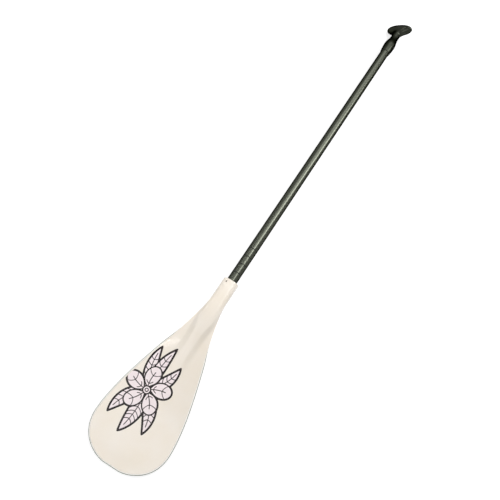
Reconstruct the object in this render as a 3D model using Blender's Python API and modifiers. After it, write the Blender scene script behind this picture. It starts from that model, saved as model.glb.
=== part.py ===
"""Stand-up paddleboard paddle, modelled the way it is built.

A foam-cored laminate blade is moulded in one with an oval neck. A round tube shaft is bonded into
the neck, and a palm grip of two shells slides over the top of the shaft. Nothing on it moves.

Every piece is modelled in the paddle's own frame, in metres: the origin is the centre of the neck's
rim, +Y runs up the shaft to the grip, +X runs across the blade, and +Z leaves the face that carries
the spine. One empty carries all the pieces and lays the paddle on the floor, on its tip and grip.
"""
import math

import bmesh
import bpy
import numpy as np
from mathutils import Matrix, Vector

# Clearance between pieces that touch, and how far a cutter stands out of what it cuts
CLEARANCE = 0.0003
CUTTER_REACH = 0.005

# Shaft
SHAFT_DIAMETER = 0.030
SHAFT_WALL = 0.0020
SHAFT_EXPOSED = 1.055
NECK_SOCKET_DEPTH = 0.080
PLUG_LENGTH = 0.030
PLUG_RECESS = 0.002

# Blade outline, measured along the blade from its tip
BLADE_LENGTH = 0.582
BLADE_WIDTH = 0.228
WIDEST_FROM_TIP = 0.100
TIP_ROUNDNESS = 2.15
TIP_FLAT_HALF = 0.026
FLARE_POWER = 1.70
RAIL_WIDTH = 0.0040
RAIL_END_FROM_TIP = 0.392
RAIL_FADE = 0.060
RAIL_END_WIDTH = 0.0005
RAIL_ROUNDING = 0.9

# Blade section
SKIN_WALL = 0.0014
CORE_EDGE_THICKNESS = 0.0018
CORE_EDGE_GAP = 0.0008
FRONT_CROWN = 0.0018
CROWN_RUN = 0.050
SPINE_FADE_FROM_TIP = 0.232
SPINE_PLATEAU = 0.010
SPINE_BASE = 0.029

# Neck, measured down from its rim
LINER_WALL = 0.0026
LINER_FLOOR = 0.0040
NECK_SIDE_FILL = 0.0035
NECK_ROUNDNESS = 2.8
NECK_STRAIGHT = 0.064
NECK_ROUND = 0.082
NECK_BLEND = 0.105
BLADE_CANT = math.radians(10.0)
BEND_START = 0.082
BEND_LENGTH = 0.096

# Spar in the core
SPAR_COVER = 0.0011
SPAR_TIP_FROM_TIP = 0.305

# Rivet in the neck
RIVET_FROM_RIM = 0.0107
RIVET_ANGLE = math.radians(-33.5)
RIVET_HEAD_RADIUS = 0.0026
RIVET_SHANK_RADIUS = 0.0018
RIVET_HEAD_HEIGHT = 0.0009
SPOT_FACE_DEPTH = 0.0007

# Palm grip, measured up from the lip of its sleeve
GRIP_SOCKET_DEPTH = 0.048
GRIP_WEB = 0.003
GRIP_WALL = 0.0026
GRIP_LIP_WALL = 0.0012
GRIP_BULGE_WALL = 0.0042
GRIP_BULGE_AT = 0.041
GRIP_WAIST_DIAMETER = 0.0276
GRIP_WAIST_AT = 0.083
GRIP_BAR_AT = 0.1305
GRIP_BAR_LENGTH = 0.0965
GRIP_BAR_DEPTH = 0.040
GRIP_TOP = 0.1455
GRIP_BAR_ROUNDNESS = 2.3
GRIP_FLARE_FROM = 0.0985
GRIP_LENGTH_EASE = 1.1
GRIP_DEPTH_EASE = 2.2
GRIP_TURN = math.radians(41.0)

# Fineness of the surfaces
SHORTEST_ROW = 0.003
EVEN_COLUMNS = 0.45
TIP_ROWS = 10
FLARE_ROWS = 21
NECK_ROWS = 3
RAIL_ROWS = 13
FRONT_COLUMNS = 20
BACK_COLUMNS = 12
ROUND_SIDES = 36
RIVET_SIDES = 16
SPAR_RINGS = 14
GRIP_ROW = 0.0075
GRIP_ROWS = 8
GRIP_COLUMNS = 13

# Sizes that follow from the ones above
SHAFT_RADIUS = SHAFT_DIAMETER / 2
SOCKET_RADIUS = SHAFT_RADIUS + CLEARANCE
NECK_HALF_THICKNESS = SOCKET_RADIUS + LINER_WALL + CLEARANCE + SKIN_WALL
NECK_HALF_WIDTH = NECK_HALF_THICKNESS + NECK_SIDE_FILL
EDGE_HALF = CORE_EDGE_THICKNESS / 2 + CLEARANCE + SKIN_WALL
SKIN_LENGTH = BLADE_LENGTH - RAIL_WIDTH
SKIN_HALF_WIDTH = BLADE_WIDTH / 2 - RAIL_WIDTH
SKIN_WIDEST = WIDEST_FROM_TIP - RAIL_WIDTH
TIP_FLAT_SHARE = (1.0 - (TIP_FLAT_HALF / SKIN_HALF_WIDTH) ** TIP_ROUNDNESS) ** (1.0 / TIP_ROUNDNESS)
SOCKET_FLOOR = NECK_SOCKET_DEPTH + CLEARANCE
LINER_LENGTH = SOCKET_FLOOR + LINER_FLOOR


def smoothstep(u):
    """An S-shaped ramp from 0 to 1 as u goes from 0 to 1."""
    u = np.clip(u, 0.0, 1.0)
    return u * u * (3.0 - 2.0 * u)


# The blade's outline and section. Here t is the distance from the skins' tip, along the blade.

def half_width(t):
    """Half the skins' width: a superellipse cut short at the tip's flat, then one flowing flare to the neck."""
    t = np.asarray(t, dtype=float)
    round_part = (TIP_FLAT_SHARE * np.clip(1.0 - t / SKIN_WIDEST, 0.0, 1.0)) ** TIP_ROUNDNESS
    tip = SKIN_HALF_WIDTH * (1.0 - round_part) ** (1.0 / TIP_ROUNDNESS)
    flare_end = SKIN_LENGTH - NECK_STRAIGHT
    u = np.clip((t - SKIN_WIDEST) / (flare_end - SKIN_WIDEST), 0.0, 1.0)
    flare = NECK_HALF_WIDTH + (SKIN_HALF_WIDTH - NECK_HALF_WIDTH) * (1.0 - u ** FLARE_POWER) ** FLARE_POWER
    return np.where(t < SKIN_WIDEST, tip, flare)


def stretch(t):
    """How much longer a wall is when cut square to the blade than when cut square to its outline."""
    step = 0.0002
    slope = (half_width(t + step) - half_width(max(t - step, 0.0))) / (step + min(step, t))
    return math.hypot(1.0, float(slope))


def neck_share(t):
    """0 where the section is the flat blade, 1 where it is the oval neck."""
    start = SKIN_LENGTH - NECK_ROUND - NECK_BLEND
    return float(smoothstep((t - start) / NECK_BLEND))


def crown(t):
    """Rise of the front face's middle above its edges, which starts from nothing at the tip."""
    return float(FRONT_CROWN * smoothstep(t / CROWN_RUN))


def crest(t, front):
    """Height of the middle of a face above the parting plane."""
    if front:
        blade = EDGE_HALF + crown(t)
        fade = SPINE_FADE_FROM_TIP - RAIL_WIDTH
        rise = smoothstep((t - fade) / (SKIN_LENGTH - NECK_ROUND - fade))
    else:
        blade = EDGE_HALF
        rise = neck_share(t)
    return float(blade + (NECK_HALF_THICKNESS - blade) * rise)


def face_curve(t, front, columns):
    """One face of the section at t, from its +X edge over the middle to its -X edge.

    The curve is a blend of the neck's half oval, a superellipse, and the blade's flat face with its spine.
    """
    width = float(half_width(t))
    top = crest(t, front)
    share = neck_share(t)
    parting = CLEARANCE / 2

    even = np.linspace(0.0, 1.0, columns + 1)
    angle = math.pi * (EVEN_COLUMNS * even + (1.0 - EVEN_COLUMNS) * smoothstep(even))
    oval_x = width * np.sign(np.cos(angle)) * np.abs(np.cos(angle)) ** (2.0 / NECK_ROUNDNESS)
    oval_z = parting + (top - parting) * np.abs(np.sin(angle)) ** (2.0 / NECK_ROUNDNESS)

    across = np.linspace(1.0, -1.0, columns - 1)
    flat_x = width * (EVEN_COLUMNS * across + (1.0 - EVEN_COLUMNS) * across ** 3)
    if front:
        plate = EDGE_HALF + crown(t) * (1.0 - across ** 2)
        base = min(SPINE_BASE, 0.92 * width)
        plateau = min(SPINE_PLATEAU, 0.4 * width)
        flank = (np.abs(flat_x) - plateau) / max(base - plateau, 1e-6)
        spine = (top - EDGE_HALF - crown(t)) * (1.0 - smoothstep(flank))
    else:
        plate = np.full_like(across, EDGE_HALF)
        spine = np.full_like(across, top - EDGE_HALF)
    flat_x = np.concatenate(([width], flat_x, [-width]))
    flat_z = np.concatenate(([parting], plate + spine, [parting]))

    x = share * oval_x + (1.0 - share) * flat_x
    z = share * oval_z + (1.0 - share) * flat_z
    return x, z


def inset(x, z, distance, side_distance):
    """Move a face curve inwards, by one distance under the face and another at its side walls."""
    dx = np.diff(x)
    dz = np.diff(z)
    length = np.maximum(np.hypot(dx, dz), 1e-9)
    normal_x = -dz / length
    normal_z = dx / length
    before_x = np.concatenate(([normal_x[0]], normal_x))
    before_z = np.concatenate(([normal_z[0]], normal_z))
    after_x = np.concatenate((normal_x, [normal_x[-1]]))
    after_z = np.concatenate((normal_z, [normal_z[-1]]))
    share = 1.0 + before_x * after_x + before_z * after_z
    return x + side_distance * (before_x + after_x) / share, z + distance * (before_z + after_z) / share


def place_on_blade(t, x, z):
    """Points of a section at t, put on the blade's centre line, which bends by the cant below the neck."""
    down = SKIN_LENGTH - t
    radius = BEND_LENGTH / BLADE_CANT
    bent = min(max(down - BEND_START, 0.0), BEND_LENGTH)
    angle = bent / radius
    past = max(down - BEND_START - BEND_LENGTH, 0.0)
    y = -min(down, BEND_START) - radius * math.sin(angle) - past * math.cos(angle)
    lift = -radius * (1.0 - math.cos(angle)) - past * math.sin(angle)
    return np.stack((x, y - z * math.sin(angle), lift + z * math.cos(angle)), axis=1)


def tip_rows():
    """Stations from the tip's flat to the widest place, closest together at the flat."""
    turn = np.linspace(math.acos(TIP_FLAT_SHARE), math.pi / 2, TIP_ROWS + 1)
    return SKIN_WIDEST * (1.0 - np.cos(turn) / TIP_FLAT_SHARE)


def blade_rows():
    """Stations of the skins from the tip to the neck's rim."""
    flare_end = SKIN_LENGTH - NECK_STRAIGHT
    flare = np.linspace(SKIN_WIDEST, flare_end, FLARE_ROWS + 1)[1:]
    neck = np.linspace(flare_end, SKIN_LENGTH, NECK_ROWS + 1)[1:]
    return np.concatenate((tip_rows(), flare, neck))


# Building blocks

def make_material(name, colour, roughness, metallic=0.0):
    """A Principled material with one colour, roughness and metallic value."""
    material = bpy.data.materials.new(name)
    material.use_nodes = True
    shader = material.node_tree.nodes["Principled BSDF"]
    shader.inputs["Base Color"].default_value = (*colour, 1.0)
    shader.inputs["Roughness"].default_value = roughness
    shader.inputs["Metallic"].default_value = metallic
    material.diffuse_color = (*colour, 1.0)
    return material


def add_object(name, mesh, group, material=None, smooth_angle=35.0):
    """Put a mesh in the scene as a piece that hangs from the paddle's empty."""
    piece = bpy.data.objects.new(name, mesh)
    group.objects.link(piece)
    piece.parent = PADDLE
    mesh.shade_smooth()
    mesh.set_sharp_from_angle(angle=math.radians(smooth_angle))
    if material is None:
        piece.display_type = "WIRE"
        piece.hide_render = True
    else:
        mesh.materials.append(material)
    return piece


def mesh_of(name, points, faces):
    """A mesh from points and faces, with doubled points merged and its faces turned the same way."""
    mesh = bpy.data.meshes.new(name)
    mesh.from_pydata([tuple(p) for p in points], [], faces)
    work = bmesh.new()
    work.from_mesh(mesh)
    bmesh.ops.remove_doubles(work, verts=work.verts, dist=1e-7)
    bmesh.ops.dissolve_degenerate(work, edges=work.edges, dist=1e-7)
    bmesh.ops.recalc_face_normals(work, faces=work.faces)
    work.to_mesh(mesh)
    work.free()
    return mesh


def split_quad(points, a, b, c, d):
    """Two triangles for a quad, split the same way on both sides of the centre line and in every layer."""
    if abs(points[a][0]) > abs(points[b][0]):
        return [(a, b, d), (b, c, d)]
    return [(a, b, c), (a, c, d)]


def sheet(name, rows):
    """An open surface through rows of points."""
    count = len(rows[0])
    points = np.concatenate(rows)
    faces = []
    for i in range(len(rows) - 1):
        for j in range(count - 1):
            a = i * count + j
            faces += split_quad(points, a, a + 1, a + count + 1, a + count)
    return mesh_of(name, points, faces)


def loft(name, rings):
    """A closed solid through rings of points, with flat ends."""
    count = len(rings[0])
    points = np.concatenate(rings)
    faces = [tuple(range(count)), tuple(reversed(range((len(rings) - 1) * count, len(rings) * count)))]
    for i in range(len(rings) - 1):
        for j in range(count):
            a = i * count + j
            b = i * count + (j + 1) % count
            faces += split_quad(points, a, b, b + count, a + count)
    return mesh_of(name, points, faces)


def turned(name, profile, group, material=None, closed=True, sides=ROUND_SIDES):
    """A profile of (radius, height) points turned round the shaft's axis by a Screw modifier."""
    count = len(profile)
    edges = [(i, i + 1) for i in range(count - 1)]
    if closed:
        edges.append((count - 1, 0))
    mesh = bpy.data.meshes.new(name)
    mesh.from_pydata([(radius, 0.0, height) for radius, height in profile], edges, [])
    piece = add_object(name, mesh, group, material)
    screw = piece.modifiers.new("Turn", "SCREW")
    screw.axis = "Z"
    screw.steps = sides
    screw.render_steps = sides
    screw.use_merge_vertices = True
    screw.merge_threshold = 0.00001
    screw.use_smooth_shade = True
    piece.rotation_euler = (-math.pi / 2, 0.0, 0.0)
    return piece


def rod(name, radius, low, high, group, material=None, sides=ROUND_SIDES):
    """A cylinder round the shaft's axis, from y = low to y = high."""
    mesh = bpy.data.meshes.new(name)
    work = bmesh.new()
    bmesh.ops.create_cone(work, cap_ends=True, segments=sides, radius1=radius, radius2=radius, depth=high - low)
    work.to_mesh(mesh)
    work.free()
    piece = add_object(name, mesh, group, material)
    piece.rotation_euler = (-math.pi / 2, 0.0, 0.0)
    piece.location = (0.0, (low + high) / 2, 0.0)
    return piece


def cut(piece, cutter):
    """Take a cutter away from a piece."""
    boolean = piece.modifiers.new("Cut " + cutter.name, "BOOLEAN")
    boolean.operation = "DIFFERENCE"
    boolean.solver = "EXACT"
    boolean.object = cutter


# Blade pieces

def blade_skin(name, front, columns, material):
    """A laminate shell: one face of the blade with its half of the neck, open at the parting plane."""
    rows = []
    for t in blade_rows():
        x, z = face_curve(t, front, columns)
        if not rows:
            end_z = np.full_like(z, z[0])
            rows.append(place_on_blade(t, x, end_z if front else -end_z))
        rows.append(place_on_blade(t, x, z if front else -z))
    skin = add_object(name, sheet(name, rows), PARTS, material, 30.0)
    up = sum(face.normal.z * face.area for face in skin.data.polygons)
    if (up > 0) != front:
        skin.data.flip_normals()
    wall = skin.modifiers.new("Laminate", "SOLIDIFY")
    wall.thickness = SKIN_WALL
    wall.offset = -1.0
    wall.use_even_offset = True
    return skin


def inner_curves(t, side_gap):
    """The two faces of what fills the skins at t, front then back, clear of the laminate."""
    distance = SKIN_WALL + CLEARANCE
    side_distance = (SKIN_WALL + side_gap) * stretch(t)
    curves = []
    for front, columns in ((True, FRONT_COLUMNS), (False, BACK_COLUMNS)):
        x, z = face_curve(t, front, columns)
        x, z = inset(x, z, distance, side_distance)
        curves.append((x[1:-1], (z if front else -z)[1:-1]))
    return curves


def blade_core(name, side, spar_cutter, material):
    """Half of the foam core, from the tip to the liner's floor, with the groove that the spar lies in."""
    first = 2 * (SKIN_WALL + CORE_EDGE_GAP)
    last = SKIN_LENGTH - LINER_LENGTH - CLEARANCE
    stations = [t for t in blade_rows() if first < t < last - SHORTEST_ROW] + [last]
    rings = []
    for t in stations:
        (front_x, front_z), (back_x, back_z) = inner_curves(t, CORE_EDGE_GAP)
        front_half = len(front_x) // 2 + 1
        back_half = len(back_x) // 2 + 1
        x = np.concatenate((front_x[:front_half], back_x[:back_half][::-1]))
        z = np.concatenate((front_z[:front_half], back_z[:back_half][::-1]))
        x = side * np.maximum(x, CLEARANCE / 2)
        rings.append(place_on_blade(t, x, z))
    core = add_object(name, loft(name, rings), PARTS, material, 40.0)
    cut(core, spar_cutter)
    return core


def spar_points(extra):
    """Centre and radius of the spar at each ring, as thick as the core's cover over it allows."""
    first = SPAR_TIP_FROM_TIP - RAIL_WIDTH
    last = SKIN_LENGTH - LINER_LENGTH - 2 * CLEARANCE
    cover = SKIN_WALL + CLEARANCE + SPAR_COVER
    rings = []
    for t in np.linspace(first, last, SPAR_RINGS):
        front = crest(t, True)
        back = crest(t, False)
        centre = place_on_blade(t, np.zeros(1), np.array([(front - back) / 2]))[0]
        rings.append((Vector(centre), (front + back) / 2 - cover + extra))
    return rings


def spar(name, extra, group, material=None):
    """The tapered spar, a tube of changing radius along the neck and blade, made a mesh."""
    rings = spar_points(extra)
    if material is None:
        lead = (rings[-1][0] - rings[-2][0]).normalized() * CUTTER_REACH
        rings.append((rings[-1][0] + lead, rings[-1][1]))
        tail = (rings[0][0] - rings[1][0]).normalized() * CLEARANCE
        rings[0] = (rings[0][0] + tail, rings[0][1])
    curve = bpy.data.curves.new(name, "CURVE")
    curve.dimensions = "3D"
    curve.bevel_depth = 1.0
    curve.bevel_resolution = 3
    curve.use_fill_caps = True
    spline = curve.splines.new("POLY")
    spline.points.add(len(rings) - 1)
    for point, (centre, radius) in zip(spline.points, rings):
        point.co = (*centre, 1.0)
        point.radius = radius
    guide = bpy.data.objects.new(name + "_guide", curve)
    CUTTERS.objects.link(guide)
    bpy.context.view_layer.update()
    mesh = bpy.data.meshes.new_from_object(guide.evaluated_get(bpy.context.evaluated_depsgraph_get()))
    bpy.data.objects.remove(guide)
    work = bmesh.new()
    work.from_mesh(mesh)
    bmesh.ops.remove_doubles(work, verts=work.verts, dist=1e-7)
    bmesh.ops.recalc_face_normals(work, faces=work.faces)
    work.to_mesh(mesh)
    work.free()
    mesh.name = name
    return add_object(name, mesh, group, material)


def socket_liner(name, material):
    """The sleeve inside the neck: oval outside, a round socket for the shaft, and a floor under it."""
    first = SKIN_LENGTH - LINER_LENGTH
    rings = []
    for t in [first] + [t for t in blade_rows() if t > first + SHORTEST_ROW]:
        (front_x, front_z), (back_x, back_z) = inner_curves(t, CLEARANCE)
        x = np.concatenate((front_x, back_x[::-1]))
        z = np.concatenate((front_z, back_z[::-1]))
        rings.append(place_on_blade(t, x, z))
    return add_object(name, loft(name, rings), PARTS, material)


def edge_rail(name, material):
    """The plastic strip round the blade's edge: flat against the skins, round outside, fading at its ends."""
    end = RAIL_END_FROM_TIP - RAIL_WIDTH
    side = np.concatenate((tip_rows(), np.linspace(SKIN_WIDEST, end, RAIL_ROWS + 1)[1:]))
    t = np.concatenate((side[::-1], side))
    x = np.concatenate((half_width(side[::-1]), -half_width(side)))

    step_t = np.gradient(t)
    step_x = np.gradient(x)
    length = np.hypot(step_t, step_x)
    out_t = step_x / length
    out_x = -step_t / length
    rings = []
    for i in range(len(t)):
        fade = float(smoothstep((end + CLEARANCE - t[i]) / RAIL_FADE))
        thinnest = CLEARANCE + RAIL_END_WIDTH
        reach = thinnest + (RAIL_WIDTH - thinnest) * fade
        round_depth = min(EDGE_HALF, reach - CLEARANCE) * RAIL_ROUNDING
        angles = np.radians((-90.0, -50.0, 0.0, 50.0, 90.0))
        reach_out = np.concatenate(([CLEARANCE], reach - round_depth * (1.0 - np.cos(angles)), [CLEARANCE]))
        height = np.concatenate(([-EDGE_HALF], EDGE_HALF * np.sin(angles), [EDGE_HALF]))
        ring = []
        for reached, z in zip(reach_out, height):
            at = t[i] + out_t[i] * reached
            ring.append(place_on_blade(at, np.array([x[i] + out_x[i] * reached]), np.array([z]))[0])
        rings.append(np.array(ring))
    return add_object(name, loft(name, rings), PARTS, material, 40.0)


# Rivet

def neck_radius_at(angle):
    """Distance from the shaft's axis to the neck's surface, at an angle from +Z towards +X."""
    across = abs(math.sin(angle) / NECK_HALF_WIDTH) ** NECK_ROUNDNESS
    through = abs(math.cos(angle) / NECK_HALF_THICKNESS) ** NECK_ROUNDNESS
    return (across + through) ** (-1.0 / NECK_ROUNDNESS)


def radial_piece(name, profile, group, material=None):
    """A turned piece whose axis runs out from the shaft's axis at the rivet's place."""
    piece = turned(name, profile, group, material, False, RIVET_SIDES)
    piece.rotation_euler = (0.0, RIVET_ANGLE, 0.0)
    piece.location = (0.0, -RIVET_FROM_RIM, 0.0)
    return piece


def rivet_profile(head, shank, low, seat, high):
    """Outer side of a rivet from the top of its head down to the end of its shank."""
    return [(0.0, high), (0.6 * head, high - 0.15 * (high - seat)), (head, high - 0.6 * (high - seat)),
            (head, seat), (shank, seat), (shank, low), (0.0, low)]


# Grip

def grip_stem(y):
    """Radius of the sleeve and waist: out from the lip to the bulge, in to the waist, then straight."""
    lip = SOCKET_RADIUS + GRIP_LIP_WALL
    bulge = SOCKET_RADIUS + GRIP_BULGE_WALL
    waist = GRIP_WAIST_DIAMETER / 2
    rising = lip + (bulge - lip) * np.sin(math.pi / 2 * np.clip(y / GRIP_BULGE_AT, 0.0, 1.0))
    falling = smoothstep((y - GRIP_BULGE_AT) / (GRIP_WAIST_AT - GRIP_BULGE_AT))
    return np.where(y < GRIP_BULGE_AT, rising, bulge + (waist - bulge) * falling)


def grip_reach(y, bar_half, ease, distance):
    """Half the grip's size across at height y, inset by a distance: the stem, a flare and a rounded top.

    The bar's depth flares later than its length, so each wing has a keel under it that runs into the stem.
    """
    up = np.clip((y - GRIP_BAR_AT) / (GRIP_TOP - GRIP_BAR_AT - distance), 0.0, 1.0)
    bar = (bar_half - distance) * (1.0 - up ** GRIP_BAR_ROUNDNESS) ** (1.0 / GRIP_BAR_ROUNDNESS)
    start = GRIP_FLARE_FROM + distance
    flare = smoothstep(np.clip((y - start) / (GRIP_BAR_AT - start), 0.0, 1.0) ** ease)
    stem = grip_stem(y) - distance
    return float(stem + (bar - stem) * flare)


def grip_heights(low, distance):
    """Heights of the grip's rings from low to just under its top: even up the stem, closer on the bar."""
    start = GRIP_FLARE_FROM + distance
    top = GRIP_TOP - distance
    stem = np.arange(low, start - GRIP_ROW / 2, GRIP_ROW)
    flare = np.linspace(start, GRIP_BAR_AT, GRIP_ROWS)
    over = GRIP_BAR_AT + (top - GRIP_BAR_AT) * np.sin(np.linspace(0.0, math.pi / 2, GRIP_ROWS))
    return np.concatenate((stem, flare, over[1:-1], [top - 0.0001]))


def grip_rings(low, distance, half_turns, columns):
    """Oval rings of the grip from low to its top, inset by a distance; half a turn gives a half shell."""
    rings = []
    for y in grip_heights(low, distance):
        length = grip_reach(y, GRIP_BAR_LENGTH / 2, GRIP_LENGTH_EASE, distance)
        depth = grip_reach(y, GRIP_BAR_DEPTH / 2, GRIP_DEPTH_EASE, distance)
        angle = np.linspace(0.0, math.pi * half_turns, columns + 1)
        if half_turns == 2:
            angle = angle[:-1]
        rings.append(np.stack((length * np.cos(angle), np.full_like(angle, y), depth * np.sin(angle)), axis=1))
    return rings


def seat_grip(piece):
    """Put a piece of the grip at the top of the shaft, turned as the grip is."""
    piece.rotation_euler = (0.0, -GRIP_TURN, 0.0)
    piece.location = (0.0, SHAFT_EXPOSED, 0.0)
    return piece


def grip_shell(name, front, material):
    """Half of the palm grip: an outer half form, cut out for the shaft and for the foam."""
    side = 1.0 if front else -1.0
    rings = grip_rings(0.0, 0.0, 1, GRIP_COLUMNS)
    for ring in rings:
        ring[:, 2] = side * np.maximum(ring[:, 2], CLEARANCE / 2)
    return seat_grip(add_object(name, loft(name, rings), PARTS, material, 50.0))


def grip_filling(name, distance, group, material=None):
    """The form inside the grip's shells, above the shaft."""
    low = GRIP_SOCKET_DEPTH + GRIP_WEB + distance - GRIP_WALL
    rings = grip_rings(low, distance, 2, 2 * GRIP_COLUMNS)
    return seat_grip(add_object(name, loft(name, rings), group, material, 50.0))


# Laying the paddle down

def world_points():
    """Every point of every piece, as built."""
    bpy.context.view_layer.update()
    graph = bpy.context.evaluated_depsgraph_get()
    points = []
    for piece in PARTS.objects:
        ready = piece.evaluated_get(graph)
        mesh = ready.to_mesh()
        here = np.empty(len(mesh.vertices) * 3)
        mesh.vertices.foreach_get("co", here)
        matrix = np.array(ready.matrix_world)
        points.append(here.reshape(-1, 3) @ matrix[:3, :3].T + matrix[:3, 3])
        ready.to_mesh_clear()
    return np.concatenate(points)


def lay_on_floor():
    """Pitch the paddle until its blade's tip and its grip touch the floor, over the origin."""
    points = world_points()
    blade = points[points[:, 1] < -SKIN_LENGTH / 2]
    grip = points[points[:, 1] > SHAFT_EXPOSED]
    low, high = -0.3, 0.3
    for _ in range(40):
        pitch = (low + high) / 2
        drop = (blade[:, 1] * math.sin(pitch) + blade[:, 2] * math.cos(pitch)).min()
        rise = (grip[:, 1] * math.sin(pitch) + grip[:, 2] * math.cos(pitch)).min()
        if rise > drop:
            high = pitch
        else:
            low = pitch
    turn = np.array(Matrix.Rotation(pitch, 3, "X"))
    laid = points @ turn.T
    corner = laid.min(axis=0)
    far = laid.max(axis=0)
    PADDLE.rotation_euler = (pitch, 0.0, 0.0)
    PADDLE.location = (-(corner[0] + far[0]) / 2, -(corner[1] + far[1]) / 2, -corner[2])
    print("size mm", np.round((far - corner) * 1000, 1), "pitch deg", round(math.degrees(pitch), 3))


# The scene

for old in list(bpy.data.objects):
    bpy.data.objects.remove(old, do_unlink=True)

PARTS = bpy.data.collections.new("sup_paddle")
CUTTERS = bpy.data.collections.new("cutters")
bpy.context.scene.collection.children.link(PARTS)
bpy.context.scene.collection.children.link(CUTTERS)
PADDLE = bpy.data.objects.new("paddle_origin", None)
bpy.context.scene.collection.objects.link(PADDLE)

laminate = make_material("cream_gelcoat", (0.80, 0.76, 0.68), 0.22)
edge_plastic = make_material("edge_plastic", (0.86, 0.85, 0.82), 0.35)
foam = make_material("blade_foam", (0.78, 0.66, 0.38), 0.85)
carbon = make_material("dark_composite", (0.012, 0.012, 0.013), 0.28)
liner_plastic = make_material("liner_plastic", (0.62, 0.60, 0.54), 0.45)
rivet_metal = make_material("dark_rivet", (0.06, 0.06, 0.06), 0.4, 0.6)
grip_plastic = make_material("grip_plastic", (0.018, 0.018, 0.02), 0.42)
closed_foam = make_material("closed_cell_foam", (0.20, 0.20, 0.21), 0.9)

spar_groove = spar("spar_groove", CLEARANCE, CUTTERS)
shaft_bore = rod("shaft_bore", SOCKET_RADIUS, -SOCKET_FLOOR, CUTTER_REACH, CUTTERS)

front_skin = blade_skin("blade_front_skin", True, FRONT_COLUMNS, laminate)
back_skin = blade_skin("blade_back_skin", False, BACK_COLUMNS, laminate)
blade_core("blade_core_right", 1.0, spar_groove, foam)
blade_core("blade_core_left", -1.0, spar_groove, foam)
spar("blade_spar", 0.0, PARTS, carbon)
edge_rail("blade_edge_rail", edge_plastic)
liner = socket_liner("neck_socket_liner", liner_plastic)
cut(liner, shaft_bore)

shaft_low = -NECK_SOCKET_DEPTH
shaft_high = SHAFT_EXPOSED + GRIP_SOCKET_DEPTH - CLEARANCE
shaft_hole = SHAFT_RADIUS - SHAFT_WALL
shaft = turned("shaft_tube", [(SHAFT_RADIUS, shaft_high), (SHAFT_RADIUS, shaft_low), (shaft_hole, shaft_low),
                              (shaft_hole, shaft_high)], PARTS, carbon)
plug_radius = shaft_hole - CLEARANCE
bottom_low = shaft_low + PLUG_RECESS
top_high = shaft_high - PLUG_RECESS
rod("shaft_bottom_plug", plug_radius, bottom_low, bottom_low + PLUG_LENGTH, PARTS, closed_foam)
rod("shaft_top_plug", plug_radius, top_high - PLUG_LENGTH, top_high, PARTS, closed_foam)

rivet_seat = neck_radius_at(RIVET_ANGLE) - SPOT_FACE_DEPTH
rivet_low = shaft_hole - SHAFT_WALL / 4
radial_piece("neck_rivet", rivet_profile(RIVET_HEAD_RADIUS, RIVET_SHANK_RADIUS, rivet_low, rivet_seat + CLEARANCE,
                                         rivet_seat + CLEARANCE + RIVET_HEAD_HEIGHT), PARTS, rivet_metal)
hole_radius = RIVET_SHANK_RADIUS + CLEARANCE
spot_radius = RIVET_HEAD_RADIUS + 2 * CLEARANCE
hole_top = rivet_seat + CUTTER_REACH
hole_low = shaft_hole - CUTTER_REACH
rivet_hole = radial_piece("rivet_hole", [(0.0, hole_top), (spot_radius, hole_top), (spot_radius, rivet_seat),
                                         (hole_radius, rivet_seat), (hole_radius, hole_low), (0.0, hole_low)], CUTTERS)
for drilled in (front_skin, liner, shaft):
    cut(drilled, rivet_hole)

grip_cavity = grip_filling("grip_cavity", GRIP_WALL, CUTTERS)
grip_bore = rod("grip_bore", SOCKET_RADIUS, SHAFT_EXPOSED - CUTTER_REACH, SHAFT_EXPOSED + GRIP_SOCKET_DEPTH, CUTTERS)
for shell in (grip_shell("grip_front_shell", True, grip_plastic), grip_shell("grip_back_shell", False, grip_plastic)):
    cut(shell, grip_bore)
    cut(shell, grip_cavity)
grip_filling("grip_core", GRIP_WALL + CLEARANCE, PARTS, closed_foam)

lay_on_floor()
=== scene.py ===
# %% [markdown]
# # A stand-up paddleboard paddle, dressed for the camera
#
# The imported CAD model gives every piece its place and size. This lesson gives the pieces that show
# a finer surface and a real finish: a glossy cream blade, a clear-coated dark shaft and a lacquered
# palm grip. Each step first says what the thing is on a real paddle, and then builds it.

# %% Load the frame and note its size
import math

import bmesh
import bpy
import numpy as np
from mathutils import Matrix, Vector


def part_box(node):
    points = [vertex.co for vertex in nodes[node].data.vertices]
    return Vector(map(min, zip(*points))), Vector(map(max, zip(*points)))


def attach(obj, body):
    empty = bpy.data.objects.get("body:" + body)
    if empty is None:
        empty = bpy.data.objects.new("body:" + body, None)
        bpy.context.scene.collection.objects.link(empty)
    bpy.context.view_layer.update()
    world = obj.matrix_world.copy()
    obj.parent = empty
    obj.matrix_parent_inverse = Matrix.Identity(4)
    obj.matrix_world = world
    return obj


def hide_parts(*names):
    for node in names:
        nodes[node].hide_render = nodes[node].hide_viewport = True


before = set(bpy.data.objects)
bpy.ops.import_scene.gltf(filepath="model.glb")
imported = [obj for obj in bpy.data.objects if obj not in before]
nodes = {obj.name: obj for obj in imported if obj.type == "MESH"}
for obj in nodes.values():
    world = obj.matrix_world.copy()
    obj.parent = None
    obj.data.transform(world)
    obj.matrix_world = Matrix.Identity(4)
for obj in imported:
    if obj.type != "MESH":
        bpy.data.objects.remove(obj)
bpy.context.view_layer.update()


# %% [markdown]
# ## Where the paddle lies
#
# The paddle is easiest to describe along its own shaft: +Y up the shaft from the neck's rim, +X
# across the blade, +Z out of the face that carries the spine. The shaft's two hidden plugs are
# cylinders on its axis, so the centres of their boxes give that axis, and the rim follows from how
# deep the lower plug sits. The pieces could be computed straight in the room, but then each formula
# would carry the tilt of a paddle that rests on its tip and its grip.

# %% The paddle's own axes, from the two plugs
SOCKET_DEPTH = 0.080
PLUG_LENGTH = 0.030
PLUG_RECESS = 0.002


def centre_of(node):
    """Middle of a CAD node's box."""
    low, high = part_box(node)
    return (np.array(low) + np.array(high)) / 2


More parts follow.
